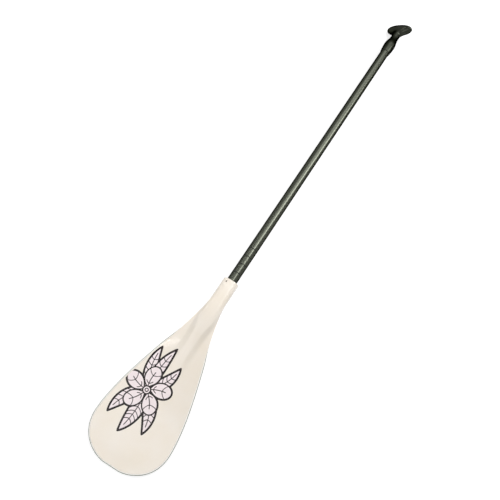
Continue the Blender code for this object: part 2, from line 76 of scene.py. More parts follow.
lower_plug = centre_of("shaft_bottom_plug")
shaft_way = centre_of("shaft_top_plug") - lower_plug
shaft_way /= np.linalg.norm(shaft_way)
across_way = np.array((1.0, 0.0, 0.0))
up_way = np.cross(across_way, shaft_way)
rim_centre = lower_plug + (SOCKET_DEPTH - PLUG_RECESS - PLUG_LENGTH / 2) * shaft_way
AXES = np.stack((across_way, shaft_way, up_way))


def to_room(points):
    """Paddle coordinates turned into room coordinates: rim centre + x*across + y*along + z*up."""
    return np.asarray(points) @ AXES + rim_centre


fall = -math.degrees(math.asin(shaft_way[2]))
print("rim centre:", np.round(rim_centre, 4), " shaft falls", round(fall, 2), "degrees to the grip")

# %% [markdown]
# ## From a grid of points to a piece
#
# Nearly every surface here is a grid: rows along the paddle, columns round the section. Such forms
# could be pushed into shape by hand or lofted from curves. A grid of computed points was chosen,
# because it has exactly the form that its formula says, and numpy works out all its points at once.
# One function turns a grid into a mesh, joins the last column to the first where the section is a
# closed ring, and merges points that meet at a pole, so that no seam is left open.

# %% Turn a grid of points into a piece
SHARP_ANGLE = 40.0
MERGE_DISTANCE = 1e-6


def grid_faces(rows, columns, ring):
    """Quads between neighbouring rows and columns; on a ring the last column meets the first."""
    last = columns if ring else columns - 1
    i, j = np.meshgrid(np.arange(rows - 1), np.arange(last), indexing="ij")
    k = (j + 1) % columns
    here = i * columns
    after = here + columns
    return np.stack((here + j, here + k, after + k, after + j), axis=-1).reshape(-1, 4)


def put(name, data):
    """A new object in the scene."""
    thing = bpy.data.objects.new(name, data)
    bpy.context.scene.collection.objects.link(thing)
    return thing


def make_piece(name, points, faces, replaces=(), sharp=SHARP_ANGLE, merge=MERGE_DISTANCE):
    """A mesh piece from paddle points and faces, smooth between sharp edges and tied to the frame.

    Closed pieces are merged and turned outwards. An open sheet has merge=0.0, and stays as it is given.
    """
    mesh = bpy.data.meshes.new(name)
    mesh.from_pydata(to_room(points.reshape(-1, 3)).tolist(), [], [tuple(face) for face in faces])
    work = bmesh.new()
    work.from_mesh(mesh)
    if merge:
        bmesh.ops.remove_doubles(work, verts=work.verts, dist=merge)
        bmesh.ops.dissolve_degenerate(work, edges=work.edges, dist=merge)
        bmesh.ops.recalc_face_normals(work, faces=work.faces)
    open_edges = sum(edge.is_boundary for edge in work.edges)
    work.to_mesh(mesh)
    work.free()
    mesh.shade_smooth()
    mesh.set_sharp_from_angle(angle=math.radians(sharp))
    piece = put(name, mesh)
    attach(piece, "root")
    for node_name in replaces:
        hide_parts(node_name)
    print(f"{name}: {len(mesh.polygons)} faces, {open_edges} open edges")
    return piece


# %% [markdown]
# ## The blade's outline
#
# Seen flat, the blade is a teardrop: a superellipse round its tip, then one flowing flare up to the
# neck. A superellipse is an ellipse whose exponent is not 2; a little above 2 gives the fuller
# shoulders that a moulded blade has. Its very tip is nearly flat for some 50 mm, so the paddle can
# rest on it. A Bezier curve could be drawn by eye instead, but the hollow and the strip have to follow
# the same line at a distance, which a formula makes easy. The shell and its hollow get their own
# outlines, one wall apart, so the wall keeps its thickness round the tip.

# %% Outline of the shells
BLADE_LENGTH = 0.582
BLADE_WIDTH = 0.228
STRIP_WIDTH = 0.004
WIDEST_FROM_TIP = 0.100 - STRIP_WIDTH
TIP_ROUNDNESS = 2.15
TIP_FLAT_HALF = 0.026
TIP_SOFTNESS = 0.0008
FLARE_POWER = 1.70
NECK_STRAIGHT = 0.064
NECK_HALF_WIDTH = 0.0231
TIP_ROWS = 49
TIP_CROWDING = 0.9
FLARE_ROWS = 97

SHELL_LENGTH = BLADE_LENGTH - STRIP_WIDTH
SHELL_HALF_WIDTH = BLADE_WIDTH / 2 - STRIP_WIDTH
FLARE_END = SHELL_LENGTH - NECK_STRAIGHT
TIP_SHARE = (1.0 - (TIP_FLAT_HALF / SHELL_HALF_WIDTH) ** TIP_ROUNDNESS) ** (1.0 / TIP_ROUNDNESS)
TIP_REACH = WIDEST_FROM_TIP / TIP_SHARE


def flare_width(t):
    """w = neck + (blade - neck) * (1 - u^p)^p, with u from 0 at the widest place to 1 at the neck."""
    u = np.clip((t - WIDEST_FROM_TIP) / (FLARE_END - WIDEST_FROM_TIP), 0.0, 1.0)
    flare = (1.0 - u ** FLARE_POWER) ** FLARE_POWER
    return NECK_HALF_WIDTH + (SHELL_HALF_WIDTH - NECK_HALF_WIDTH) * flare


def tip_outline(wall, turns):
    """Superellipse: t = widest - a cos q, w = b(1 - cos^n q)^(1/n), with t eased to stay above 0."""
    cosine = np.cos(turns)
    beyond = WIDEST_FROM_TIP - (TIP_REACH - wall) * cosine - wall
    t = wall + (beyond + np.hypot(beyond, TIP_SOFTNESS)) / 2
    width = (SHELL_HALF_WIDTH - wall) * (1.0 - cosine ** TIP_ROUNDNESS) ** (1.0 / TIP_ROUNDNESS)
    return t, width


tip_turns = math.pi / 2 * np.linspace(0.0, 1.0, TIP_ROWS) ** TIP_CROWDING
flare_rows = np.linspace(WIDEST_FROM_TIP, FLARE_END, FLARE_ROWS)[1:]
print(f"blade {1000 * BLADE_WIDTH:.1f} mm wide, neck {2000 * NECK_HALF_WIDTH:.1f} mm")

# %% [markdown]
# ## The blade's section
#
# Cut across, the wings are a thin plate with square edges for the strip to sit on. On the front face
# a spine rises out of the plate and becomes the neck, an oval just thick enough for the shaft's
# socket. A loft through a few drawn sections would need many of them to keep the spine's flanks
# smooth. Here the section blends the two shapes by how far up the blade it is, so there is one at
# every row. Columns crowd together towards the edges, where the surface turns fastest.

# %% Section of the shells
EDGE_HALF = 0.0026
FRONT_CROWN = 0.0018
CROWN_RUN = 0.050
SPINE_FADE = 0.232 - STRIP_WIDTH
SPINE_PLATEAU = 0.010
SPINE_BASE = 0.029
NECK_ROUND = 0.082
NECK_BLEND = 0.105
NECK_ROUNDNESS = 2.8
NECK_HALF_THICKNESS = 0.0195
EVEN_COLUMNS = 0.45
GAP = 0.0003
PARTING = GAP / 2
FRONT_SIDE_SHARE = 1 / 20
BACK_SIDE_SHARE = 1 / 12
BASE_LIMIT = 0.92
PLATEAU_LIMIT = 0.4
TINY = 1e-6


def ease(u):
    """S-shaped ramp: 3u^2 - 2u^3, held at 0 and 1 outside its range."""
    u = np.clip(u, 0.0, 1.0)
    return u * u * (3.0 - 2.0 * u)


def neck_share(t):
    """0 where the section is the flat blade, 1 where it is the oval neck."""
    return ease((t - (SHELL_LENGTH - NECK_ROUND - NECK_BLEND)) / NECK_BLEND)


def crown(t, front):
    """Rise of the front's middle over its edges, from nothing at the tip: full * ease(t / run)."""
    return FRONT_CROWN * ease(t / CROWN_RUN) if front else 0.0 * t


def crest(t, front):
    """Height of the middle of a face over the parting plane: plate, plus spine or neck as it rises."""
    plate = EDGE_HALF + crown(t, front)
    spine = ease((t - SPINE_FADE) / (SHELL_LENGTH - NECK_ROUND - SPINE_FADE))
    return plate + (NECK_HALF_THICKNESS - plate) * (spine if front else neck_share(t))


def section(t, width, front, columns):
    """One face: (1 - s) * plate with its spine + s * superelliptic neck, where s is the neck's share."""
    t = t[:, None]
    width = width[:, None]
    u = np.linspace(0.0, 1.0, columns + 1)[None, :]
    top = crest(t, front)
    share = neck_share(t)

    angle = math.pi * (EVEN_COLUMNS * u + (1.0 - EVEN_COLUMNS) * ease(u))
    oval_x = width * np.sign(np.cos(angle)) * np.abs(np.cos(angle)) ** (2.0 / NECK_ROUNDNESS)
    oval_z = PARTING + (top - PARTING) * np.abs(np.sin(angle)) ** (2.0 / NECK_ROUNDNESS)

    side = FRONT_SIDE_SHARE if front else BACK_SIDE_SHARE
    across = np.clip(1.0 - 2.0 * (u - side) / (1.0 - 2.0 * side), -1.0, 1.0)
    flat_x = width * (EVEN_COLUMNS * across + (1.0 - EVEN_COLUMNS) * across ** 3)
    plate = EDGE_HALF + crown(t, front) * (1.0 - across ** 2)
    base = np.minimum(SPINE_BASE, BASE_LIMIT * width)
    plateau = np.minimum(SPINE_PLATEAU, PLATEAU_LIMIT * width)
    flank = ease((np.abs(flat_x) - plateau) / np.maximum(base - plateau, TINY)) if front else 0.0
    spine = (top - EDGE_HALF - crown(t, front)) * (1.0 - flank)
    up_the_side = np.clip(np.minimum(u, 1.0 - u) / side, 0.0, 1.0)
    flat_z = PARTING + (plate + spine - PARTING) * up_the_side

    return share * oval_x + (1.0 - share) * flat_x, share * oval_z + (1.0 - share) * flat_z


print(f"edge {2000 * EDGE_HALF:.1f} mm thick, neck {2000 * NECK_HALF_THICKNESS:.1f} mm")

# %% [markdown]
# ## The blade leans back
#
# A paddle's blade is canted: just below the neck its centre line bends ten degrees away from the
# face, so that it stays square to the water through the stroke. A Simple Deform modifier could bend
# the finished mesh, but the films of the print and the strip would each need the same one. Bending
# the computed sections along an arc does it once for all, and keeps them square to the centre line.

# %% Bend the sections along the canted centre line
CANT = math.radians(10.0)
BEND_START = 0.082
BEND_LENGTH = 0.096


def place(t, x, z):
    """Points on the centre line: straight, then an arc of radius length / angle, then straight."""
    down = SHELL_LENGTH - t
    radius = BEND_LENGTH / CANT
    angle = np.clip(down - BEND_START, 0.0, BEND_LENGTH) / radius
    past = np.clip(down - BEND_START - BEND_LENGTH, 0.0, None)
    y = -np.minimum(down, BEND_START) - radius * np.sin(angle) - past * np.cos(angle)
    lift = -radius * (1.0 - np.cos(angle)) - past * np.sin(angle)
    y, lift, angle, x, z = np.broadcast_arrays(y, lift, angle, x, z)
    return np.stack((x, y - z * np.sin(angle), lift + z * np.cos(angle)), axis=-1)


print(f"the tip lies {-1000 * place(0.0, 0.0, 0.0)[2]:.1f} mm behind the shaft's line")

# %% [markdown]
# ## Two laminate shells
#
# The real blade is laid up in two moulds and joined round its edge. A Solidify modifier could give
# one surface its wall, but it would push the wall through the parting plane, where the other shell
# is. So each shell is one closed grid: every row runs over the outside and back along the inside, one
# wall below. At the tip all columns meet on one line, so merging them closes the shell. At the rim
# the outer corner is rounded by about a millimetre, as sanding leaves it.

# %% Choose the shells' rows
WALL = 0.0014
RIM_ROUND = 0.0011
RIM_ROWS = 7
NECK_ROWS = 13


def shell_rows():
    """Stations and half widths outside, the same inside, and how far each row steps in at the rim."""
    tip_t, tip_width = tip_outline(0.0, tip_turns)
    hollow_t, hollow_width = tip_outline(WALL, tip_turns)
    turn = np.linspace(math.pi / 2, 0.0, RIM_ROWS)
    rim_rows = SHELL_LENGTH - RIM_ROUND * (1.0 - np.cos(turn))
    neck_rows = np.linspace(FLARE_END, rim_rows[0], NECK_ROWS)[1:-1]
    upper_t = np.concatenate((flare_rows, neck_rows, rim_rows))
    upper_width = flare_width(upper_t)
    slope = np.gradient(upper_width, upper_t)
    t = np.concatenate((tip_t, upper_t))
    width = np.concatenate((tip_width, upper_width))
    inner_t = np.concatenate((hollow_t, upper_t))
    inner_width = np.concatenate((hollow_width, upper_width - WALL * np.hypot(1.0, slope)))
    step_in = np.zeros_like(t)
    step_in[-RIM_ROWS:] = RIM_ROUND * (1.0 - np.sin(turn))
    return t, width, inner_t, inner_width, step_in


print(f"{len(shell_rows()[0])} rows from tip to rim")

# %% Build the two shells
FRONT_COLUMNS = 100
BACK_COLUMNS = 96
SHELL_SHARP_ANGLE = 30.0


def shell(name, front, columns):
    """Rows of (outer curve, inner curve reversed); the last ones step in on a quarter circle."""
    t, width, inner_t, inner_width, step_in = shell_rows()
    x, z = section(t, width, front, columns)
    x = x * (1.0 - step_in / np.maximum(width, TINY))[:, None]
    z = PARTING + (z - PARTING) * (1.0 - step_in / NECK_HALF_THICKNESS)[:, None]
    inner_x, inner_z = section(inner_t, inner_width, front, columns)
    inner_z = np.maximum(inner_z - WALL, PARTING)
    side = 1.0 if front else -1.0
    outer = place(t[:, None], x, side * z)
    inner = place(inner_t[:, None], inner_x, side * inner_z)
    points = np.concatenate((outer, inner[:, ::-1]), axis=1)
    rows, around = points.shape[:2]
    faces = grid_faces(rows, around, True).tolist()
    first = (rows - 1) * around
    last = first + around - 1
    faces += [(first + j, first + j + 1, last - 1 - j, last - j) for j in range(columns)]
    cad_node = "blade_front_skin" if front else "blade_back_skin"
    return make_piece(name, points, faces, (cad_node,), SHELL_SHARP_ANGLE)


front_shell = shell("blade_front_gelcoat", True, FRONT_COLUMNS)
back_shell = shell("blade_back_gelcoat", False, BACK_COLUMNS)

# %% [markdown]
# ## The edge strip
#
# A soft plastic strip guards the blade's rim where it knocks against rocks and the board. Its section
# is flat against the shells and round outside. A curve object with a bevel profile could make it, but
# its seat would not lie exactly on the shells' edge. So the section is carried along their own
# outline, square to it, and shrinks to nothing where the blade narrows. Each point keeps how high it
# lies above the blade's middle plane, as a share of the full height, for the painted shade along the
# strip's outer edge.

# %% Build the edge strip
STRIP_END = 0.392 - STRIP_WIDTH
STRIP_FADE = 0.060
STRIP_ENDING = 0.0005
STRIP_ROUNDING = 0.9
STRIP_CLEARANCE = 0.00001
STRIP_HALF = EDGE_HALF - STRIP_CLEARANCE
STRIP_COLUMNS = 15


def edge_strip(name):
    """Half an ellipse, reach * (1 - cos a) deep and half * sin a high, carried round the outline."""
    tip_t, tip_width = tip_outline(0.0, tip_turns)
    upper = np.linspace(WIDEST_FROM_TIP, STRIP_END, FLARE_ROWS)[1:]
    side_t = np.concatenate((tip_t, upper))
    side_x = np.concatenate((tip_width, flare_width(upper)))
    t = np.concatenate((side_t[::-1], side_t[1:]))
    x = np.concatenate((side_x[::-1], -side_x[1:]))
    along = np.concatenate(([0.0], np.cumsum(np.hypot(np.diff(t), np.diff(x)))))
    out_t = np.gradient(x, along)
    out_x = -np.gradient(t, along)
    fade = ease((STRIP_END + GAP - t) / STRIP_FADE)
    thinnest = GAP + STRIP_ENDING
    reach = thinnest + (STRIP_WIDTH - thinnest) * fade
    depth = np.minimum(EDGE_HALF, reach - GAP) * STRIP_ROUNDING
    angle = np.linspace(-math.pi / 2, math.pi / 2, STRIP_COLUMNS)
    outwards = reach[:, None] - depth[:, None] * (1.0 - np.cos(angle))[None, :]
    seat = np.full((len(t), 1), GAP)
    outwards = np.concatenate((seat, outwards, seat), axis=1)
    height = np.concatenate(([-STRIP_HALF], STRIP_HALF * np.sin(angle), [STRIP_HALF]))[None, :]
    points = place(t[:, None] + out_t[:, None] * outwards,
                   x[:, None] + out_x[:, None] * outwards, height)
    rows, around = points.shape[:2]
    faces = grid_faces(rows, around, True).tolist()
    faces += [tuple(range(around)), tuple(reversed(range((rows - 1) * around, rows * around)))]
    piece = make_piece(name, points, faces, ("blade_edge_rail",))
    share = piece.data.attributes.new("height_share", "FLOAT", "POINT")
    share.data.foreach_set("value", np.broadcast_to(np.abs(height) / STRIP_HALF, (rows, around)).ravel())
    return piece


strip = edge_strip("blade_edge_strip")

# %% [markdown]
# ## The shaft
#
# The shaft is a tube wound from carbon fibre and epoxy. A cylinder with its bore cut by a Boolean
# would do, but a turned part is simpler: a profile carried round an axis, here a closed one of outer
# wall, chamfer, bore and chamfer, which gives even faces and clean edges. The tube also gets a UV map
# that unrolls the wall in metres, so that the winding can be drawn on it at its real size.

# %% Build the shaft
SHAFT_RADIUS = 0.015
SHAFT_WALL = 0.0020
SHAFT_EXPOSED = 1.055
GRIP_SOCKET = 0.048
SHAFT_LOW = -SOCKET_DEPTH
SHAFT_HIGH = SHAFT_EXPOSED + GRIP_SOCKET - GAP
SHAFT_BEVEL = 0.0005
SHAFT_ROWS = 41
SHAFT_SIDES = 128
SHAFT_SHARP_ANGLE = 30.0


def turned(radii, heights, sides):
    """(r, y) carried round the shaft's axis: x = r sin a, z = r cos a."""
    angle = np.linspace(0.0, 2.0 * math.pi, sides, endpoint=False)[None, :]
    radii = np.asarray(radii)[:, None]
    heights = np.broadcast_to(np.asarray(heights)[:, None], (len(radii), sides))
    return np.stack((radii * np.sin(angle), heights, radii * np.cos(angle)), axis=-1)


def shaft_tube(name):
    """Closed wall profile turned round the axis, with its outside cut into short lengths."""
    outside = np.linspace(SHAFT_LOW + SHAFT_BEVEL, SHAFT_HIGH - SHAFT_BEVEL, SHAFT_ROWS)
    inside = SHAFT_RADIUS - SHAFT_WALL
    chamfer = SHAFT_RADIUS - SHAFT_BEVEL
    heights = np.concatenate(([SHAFT_LOW], outside, [SHAFT_HIGH, SHAFT_HIGH, SHAFT_LOW, SHAFT_LOW]))
    wall = np.full(SHAFT_ROWS, SHAFT_RADIUS)
    radii = np.concatenate(([chamfer], wall, [chamfer, inside, inside, chamfer]))
    points = turned(radii, heights, SHAFT_SIDES)
    faces = grid_faces(len(radii), SHAFT_SIDES, True).tolist()
    return make_piece(name, points, faces, ("shaft_tube",), SHAFT_SHARP_ANGLE)


shaft = shaft_tube("shaft_wound_tube")


# %% Unroll the shaft's wall
def unroll(tube):
    """UV map in metres: u = angle * radius, v = height. A face's corners keep together at the seam."""
    unrolled = tube.data.uv_layers.new(name="unrolled")
    room_points = np.empty(len(tube.data.vertices) * 3)
    tube.data.vertices.foreach_get("co", room_points)
    local = (room_points.reshape(-1, 3) - rim_centre) @ AXES.T
    which = np.empty(len(tube.data.loops), dtype=np.int32)
    tube.data.loops.foreach_get("vertex_index", which)
    angle = np.arctan2(local[which, 0], local[which, 2])
    polygons = tube.data.polygons
    first = np.repeat([angle[polygon.loop_start] for polygon in polygons],
                      [polygon.loop_total for polygon in polygons])
    angle = first + (angle - first + math.pi) % (2.0 * math.pi) - math.pi
    places = np.stack((angle * SHAFT_RADIUS, local[which, 1]), axis=1)
    unrolled.data.foreach_set("uv", places.ravel())
    print(f"wall unrolled to {1000 * np.ptp(places[:, 0]):.0f} by {1000 * np.ptp(places[:, 1]):.0f} mm")


unroll(shaft)

# %% [markdown]
# ## Four marks above the neck
#
# Four short dark lines cross the front of the shaft above the neck, about 30 mm apart. They are
# matt ink on a glossy tube. The tube's own finish could draw them, but would need a mask for each.
# So each is a strip of film a few hundredths of a millimetre proud, which follows the tube for part
# of a turn and has a crisp edge.

# %% Print the four marks
MARK_HEIGHTS = (0.031, 0.062, 0.092, 0.122)
MARK_WIDTH = 0.0022
MARK_REACH = math.radians(62.0)
MARK_LIFT = 0.00006
MARK_COLUMNS = 41
SHEET_SHARP_ANGLE = 60.0


def shaft_marks(name):
    """Bands of a cylinder just outside the tube: angle from -reach to reach, one mark's width high."""
    angle = np.linspace(-MARK_REACH, MARK_REACH, MARK_COLUMNS)[None, :]
    radius = SHAFT_RADIUS + MARK_LIFT
    points = []
    faces = []
    for mark, height in enumerate(MARK_HEIGHTS):
        y = np.array((height - MARK_WIDTH / 2, height + MARK_WIDTH / 2))[:, None]
        band = np.stack(np.broadcast_arrays(radius * np.sin(angle), y, radius * np.cos(angle)), axis=-1)
        points.append(band.reshape(-1, 3))
        faces.append(grid_faces(2, MARK_COLUMNS, False)[:, ::-1] + 2 * MARK_COLUMNS * mark)
    faces = np.concatenate(faces).tolist()
    return make_piece(name, np.concatenate(points), faces, (), SHEET_SHARP_ANGLE, 0.0)


marks = shaft_marks("shaft_printed_marks")

# %% [markdown]
# ## The palm grip
#
# The grip is a T that fits the palm: a bulged sleeve over the shaft, a waist for the fingers, and an
# oval bar. It is moulded as two halves round a foam filling. It could be sculpted from a subdivided
# box, but two formulas, for its length and its depth at each height, keep it to the CAD's sizes and
# leave its swells as smooth as a moulded grip's. Each half is again one closed grid:
# every row runs round the outside and back along the inside, which is the socket, then the web over
# the shaft's end, then the hollow for the foam. Where there is no hollow, the inside shrinks to a
# point. Over the wings, the upper half swells from an ellipse to a slightly squarer superellipse, as
# a grip does that is shaped for the palm.

# %% Forms of the sleeve and the bar
LIP_WALL = 0.0012
BULGE_WALL = 0.0042
BULGE_AT = 0.041
WAIST_RADIUS = 0.0138
WAIST_AT = 0.083
FLARE_FROM = 0.0985
BAR_AT = 0.1305
BAR_ROUNDNESS = 2.3
GRIP_TOP = 0.14548


def stem(y):
    """Radius of the sleeve: a quarter sine out to the bulge, then an ease in to the waist."""
    lip = SHAFT_RADIUS + GAP + LIP_WALL
    bulge = SHAFT_RADIUS + GAP + BULGE_WALL
    rising = lip + (bulge - lip) * np.sin(math.pi / 2 * np.clip(y / BULGE_AT, 0.0, 1.0))
    falling = bulge + (WAIST_RADIUS - bulge) * ease((y - BULGE_AT) / (WAIST_AT - BULGE_AT))
    return np.where(y < BULGE_AT, rising, falling)


def grip_reach(y, bar_half, power, inset):
    """Half the grip's size at height y: stem + (bar - stem) * ease(u^e), then a superellipse above."""
    up = np.clip((y - BAR_AT) / (GRIP_TOP - BAR_AT - inset), 0.0, 1.0)
    bar = (bar_half - inset) * (1.0 - up ** BAR_ROUNDNESS) ** (1.0 / BAR_ROUNDNESS)
    low = FLARE_FROM + inset
    flare = ease(np.clip((y - low) / (BAR_AT - low), 0.0, 1.0) ** power)
    return stem(y) - inset + (bar - stem(y) + inset) * flare


print(f"bulge {2000 * float(stem(BULGE_AT)):.1f} mm across, waist {2000 * WAIST_RADIUS:.1f} mm")

# %% Choose the grip's rows
GRIP_WEB = 0.003
GRIP_WALL = 0.0026
LIP_ROUND = 0.0007
LIP_ROWS = 6
SOCKET_ROWS = 30
WAIST_ROWS = 28
UNDER_ROWS = 40
OVER_ROWS = 24
CAP_ROWS = 12


def grip_rows():
    """Heights from lip to top. Two rows a hair apart stand at either side of the web."""
    lip = LIP_ROUND * (1.0 - np.cos(np.linspace(0.0, math.pi / 2, LIP_ROWS)))
    socket = np.linspace(LIP_ROUND, GRIP_SOCKET, SOCKET_ROWS)[1:]
    waist = np.linspace(GRIP_SOCKET + GRIP_WEB, FLARE_FROM, WAIST_ROWS)
    under = np.linspace(FLARE_FROM, BAR_AT, UNDER_ROWS)[1:]
    hollow_top = GRIP_TOP - GRIP_WALL
    over = BAR_AT + (hollow_top - BAR_AT) * np.sin(np.linspace(0.0, math.pi / 2, OVER_ROWS))[1:]
    cap = GRIP_TOP - GRIP_WALL * np.linspace(1.0, 0.0, CAP_ROWS)[1:] ** 2
    web = [GRIP_SOCKET + TINY, waist[0] - TINY]
    return np.concatenate((lip, socket, web, waist, under, over, cap))


print(f"{len(grip_rows())} rows from lip to top")

# %% Build the grip's two halves
BAR_LENGTH = 0.0963
BAR_DEPTH = 0.040
LENGTH_EASE = 1.1
DEPTH_EASE = 2.2
OVAL_POWER = 2.0
WING_POWER = 2.3
GRIP_TURN = math.radians(41.0)
GRIP_COLUMNS = 64
GRIP_SHARP_ANGLE = 50.0
GRIP_MERGE_DISTANCE = 2e-6


def grip_half(name, front):
    """Rows of (outer half superellipse, inner one reversed); the front's power grows over the wings."""
    y = grip_rows()
    below = np.clip(LIP_ROUND - y, 0.0, None)
    round_lip = LIP_ROUND - np.sqrt(np.clip(LIP_ROUND ** 2 - below ** 2, 0.0, None))
    length = grip_reach(y, BAR_LENGTH / 2, LENGTH_EASE, 0.0) - round_lip
    depth = grip_reach(y, BAR_DEPTH / 2, DEPTH_EASE, 0.0) - round_lip
    in_socket = y <= GRIP_SOCKET
    in_hollow = (y >= GRIP_SOCKET + GRIP_WEB) & (y <= GRIP_TOP - GRIP_WALL)
    bore = SHAFT_RADIUS + GAP
    hollow_length = np.where(in_hollow, grip_reach(y, BAR_LENGTH / 2, LENGTH_EASE, GRIP_WALL), 0.0)
    hollow_depth = np.where(in_hollow, grip_reach(y, BAR_DEPTH / 2, DEPTH_EASE, GRIP_WALL), 0.0)
    hollow_length = np.where(in_socket, bore, hollow_length)
    hollow_depth = np.where(in_socket, bore, hollow_depth)

    angle = np.linspace(0.0, math.pi, GRIP_COLUMNS + 1)[None, :]
    wing = ease((y - FLARE_FROM) / (BAR_AT - FLARE_FROM)) if front else 0.0 * y
    power = OVAL_POWER / (OVAL_POWER + (WING_POWER - OVAL_POWER) * wing)[:, None]
    far = np.sign(np.cos(angle)) * np.abs(np.cos(angle)) ** power
    high = np.abs(np.sin(angle)) ** power
    outer_x, outer_z = length[:, None] * far, depth[:, None] * high
    inner_x, inner_z = hollow_length[:, None] * far, hollow_depth[:, None] * high
    x = np.concatenate((outer_x, inner_x[:, ::-1]), axis=1)
    z = np.maximum(np.concatenate((outer_z, inner_z[:, ::-1]), axis=1), PARTING)
    z = z if front else -z
    cosine, sine = math.cos(GRIP_TURN), math.sin(GRIP_TURN)
    along = np.broadcast_to(y[:, None] + SHAFT_EXPOSED, x.shape)
    points = np.stack((x * cosine - z * sine, along, x * sine + z * cosine), axis=-1)
    rows, around = x.shape
    faces = grid_faces(rows, around, True).tolist()
    faces += [(j, j + 1, around - 2 - j, around - 1 - j) for j in range(GRIP_COLUMNS)]
    cad_node = "grip_front_shell" if front else "grip_back_shell"
    return make_piece(name, points, faces, (cad_node,),
                      GRIP_SHARP_ANGLE, GRIP_MERGE_DISTANCE)


grip_front = grip_half("grip_front_half", True)
grip_back = grip_half("grip_back_half", False)

# %% [markdown]
# ## The rivet
#
# One small dark rivet pins the neck to the shaft near the rim. Half a sphere on the neck would show
# almost the same, but would have nothing behind it. So it is turned like the shaft, from a profile of
# dome, head and shank, round a line that leaves the shaft's axis at the rivet's angle.

# %% Build the rivet
RIVET_BELOW_RIM = 0.0107
RIVET_ANGLE = math.radians(-33.5)
HEAD_RADIUS = 0.0026
SHANK_RADIUS = 0.0018
HEAD_HEIGHT = 0.0009
HEAD_RIM_SHARE = 0.35
SPOT_DEPTH = 0.0007
SHANK_REACH = 1.25 * SHAFT_WALL
DOME_ROWS = 12
RIVET_SIDES = 48
RIVET_SHARP_ANGLE = 50.0


def rivet(name):
    """Dome r = R sin a, h = H (rim + (1 - rim) cos^2 a), then down the shank, round the radial line."""
    sideways = abs(math.sin(RIVET_ANGLE) / NECK_HALF_WIDTH) ** NECK_ROUNDNESS
    upwards = abs(math.cos(RIVET_ANGLE) / NECK_HALF_THICKNESS) ** NECK_ROUNDNESS
    surface = (sideways + upwards) ** (-1.0 / NECK_ROUNDNESS)
    seat = surface - SPOT_DEPTH + GAP
    dome = np.linspace(0.0, math.pi / 2, DOME_ROWS)
    radii = np.concatenate((HEAD_RADIUS * np.sin(dome), [HEAD_RADIUS, SHANK_RADIUS, SHANK_RADIUS, 0.0]))
    low = SHAFT_RADIUS - SHANK_REACH
    dome_height = HEAD_HEIGHT * (HEAD_RIM_SHARE + (1.0 - HEAD_RIM_SHARE) * np.cos(dome) ** 2)
    heights = np.concatenate((seat + dome_height, [seat, seat, low, low]))
    side_y, out, side_x = np.moveaxis(turned(radii, heights, RIVET_SIDES), -1, 0)
    x = side_x * math.cos(RIVET_ANGLE) + out * math.sin(RIVET_ANGLE)
    z = out * math.cos(RIVET_ANGLE) - side_x * math.sin(RIVET_ANGLE)
    points = np.stack((x, side_y - RIVET_BELOW_RIM, z), axis=-1)
    faces = grid_faces(len(radii), RIVET_SIDES, True).tolist()
    return make_piece(name, points, faces, ("neck_rivet",), RIVET_SHARP_ANGLE)


rivet_piece = rivet("neck_rivet_head")

# %% [markdown]
# ## A printed flower
#
# The front of the blade carries a print on its left half: a plain five-petalled flower among leaves,
# with bold outlines, drawn for this paddle. An image on the gelcoat would be the usual way, but it
# blurs close up and needs a file. So two films lie on the gelcoat. The dark one is the whole
# silhouette, a little wider for a heavier contour; the pale one on top leaves the outlines and veins
# open, so they show dark.
#
# Each shape is a signed distance: how far a point is outside it, less than zero inside. A brush
# stroke is the smallest distance to any disc along its path. The smaller of two distances joins two
# shapes, and the larger of one and minus the other cuts one out of the other.

# %% Distances for brush strokes and leaves
PRINT_STEP = 0.0006
PRINT_ACROSS = (-0.106, 0.036)
PRINT_ALONG = (0.060, 0.338)
OUTLINE = 0.0035
VEIN = 0.0012
CONTOUR = 0.0018
FAR_AWAY = 1.0

print_x, print_t = np.meshgrid(np.arange(*PRINT_ACROSS, PRINT_STEP),
                               np.arange(*PRINT_ALONG, PRINT_STEP))


def arc(low, high, bow, count):
    """Quadratic curve from low to high; its middle is pushed sideways by bow times its length."""
    low, high = np.array(low), np.array(high)
    side = np.array((-(high - low)[1], (high - low)[0]))
    middle = (low + high) / 2 + 2.0 * bow * side
    v = np.linspace(0.0, 1.0, count)[:, None]
    return (1 - v) ** 2 * low + 2 * v * (1 - v) * middle + v ** 2 * high


def brush(path, radii):
    """Signed distance to a stroke: the least of distance - radius over discs along the path."""
    distance = np.full(print_x.shape, FAR_AWAY)
    for (x, t), radius in zip(path, np.broadcast_to(radii, len(path))):
        distance = np.minimum(distance, np.hypot(print_x - x, print_t - t) - radius)
    return distance


print(f"print worked out at {print_x.size} points, {1000 * PRINT_STEP:.1f} mm apart")

# %% Draw a leaf
RIB_POINTS = 70
RIB_SHOWN = slice(4, -12)
LEAF_ROUNDNESS = 0.8
VEIN_PLACES = (20, 46)
VEIN_POINTS = 16
VEIN_REACH = 0.86
VEIN_LEAN = 0.75
VEIN_BOW = 0.10
SIDE_VEIN = 0.9 * VEIN


def leaf(low, high, bow, widest, fullness, veins):
    """A silhouette and what its lines leave: half width = widest * sin(pi v^fullness)^roundness."""
    rib = arc(low, high, bow, RIB_POINTS)
    v = np.linspace(0.0, 1.0, RIB_POINTS)
    half = widest * np.sin(math.pi * v ** fullness) ** LEAF_ROUNDNESS
    body = brush(rib, half)
    lines = VEIN - brush(rib[RIB_SHOWN], 0.0)
    way = np.gradient(rib, axis=0)
    way /= np.linalg.norm(way, axis=1)[:, None]
    side = np.stack((-way[:, 1], way[:, 0]), axis=1)
    for k in np.linspace(*VEIN_PLACES, veins).astype(int):
        for hand in (-1.0, 1.0):
            reach = VEIN_REACH * half[k]
            tip = rib[k] + hand * side[k] * reach + way[k] * VEIN_LEAN * reach
            vein = arc(rib[k], tip, VEIN_BOW * hand, VEIN_POINTS)
            lines = np.maximum(lines, SIDE_VEIN - brush(vein, 0.0))
    return body, np.maximum(body + OUTLINE, lines)


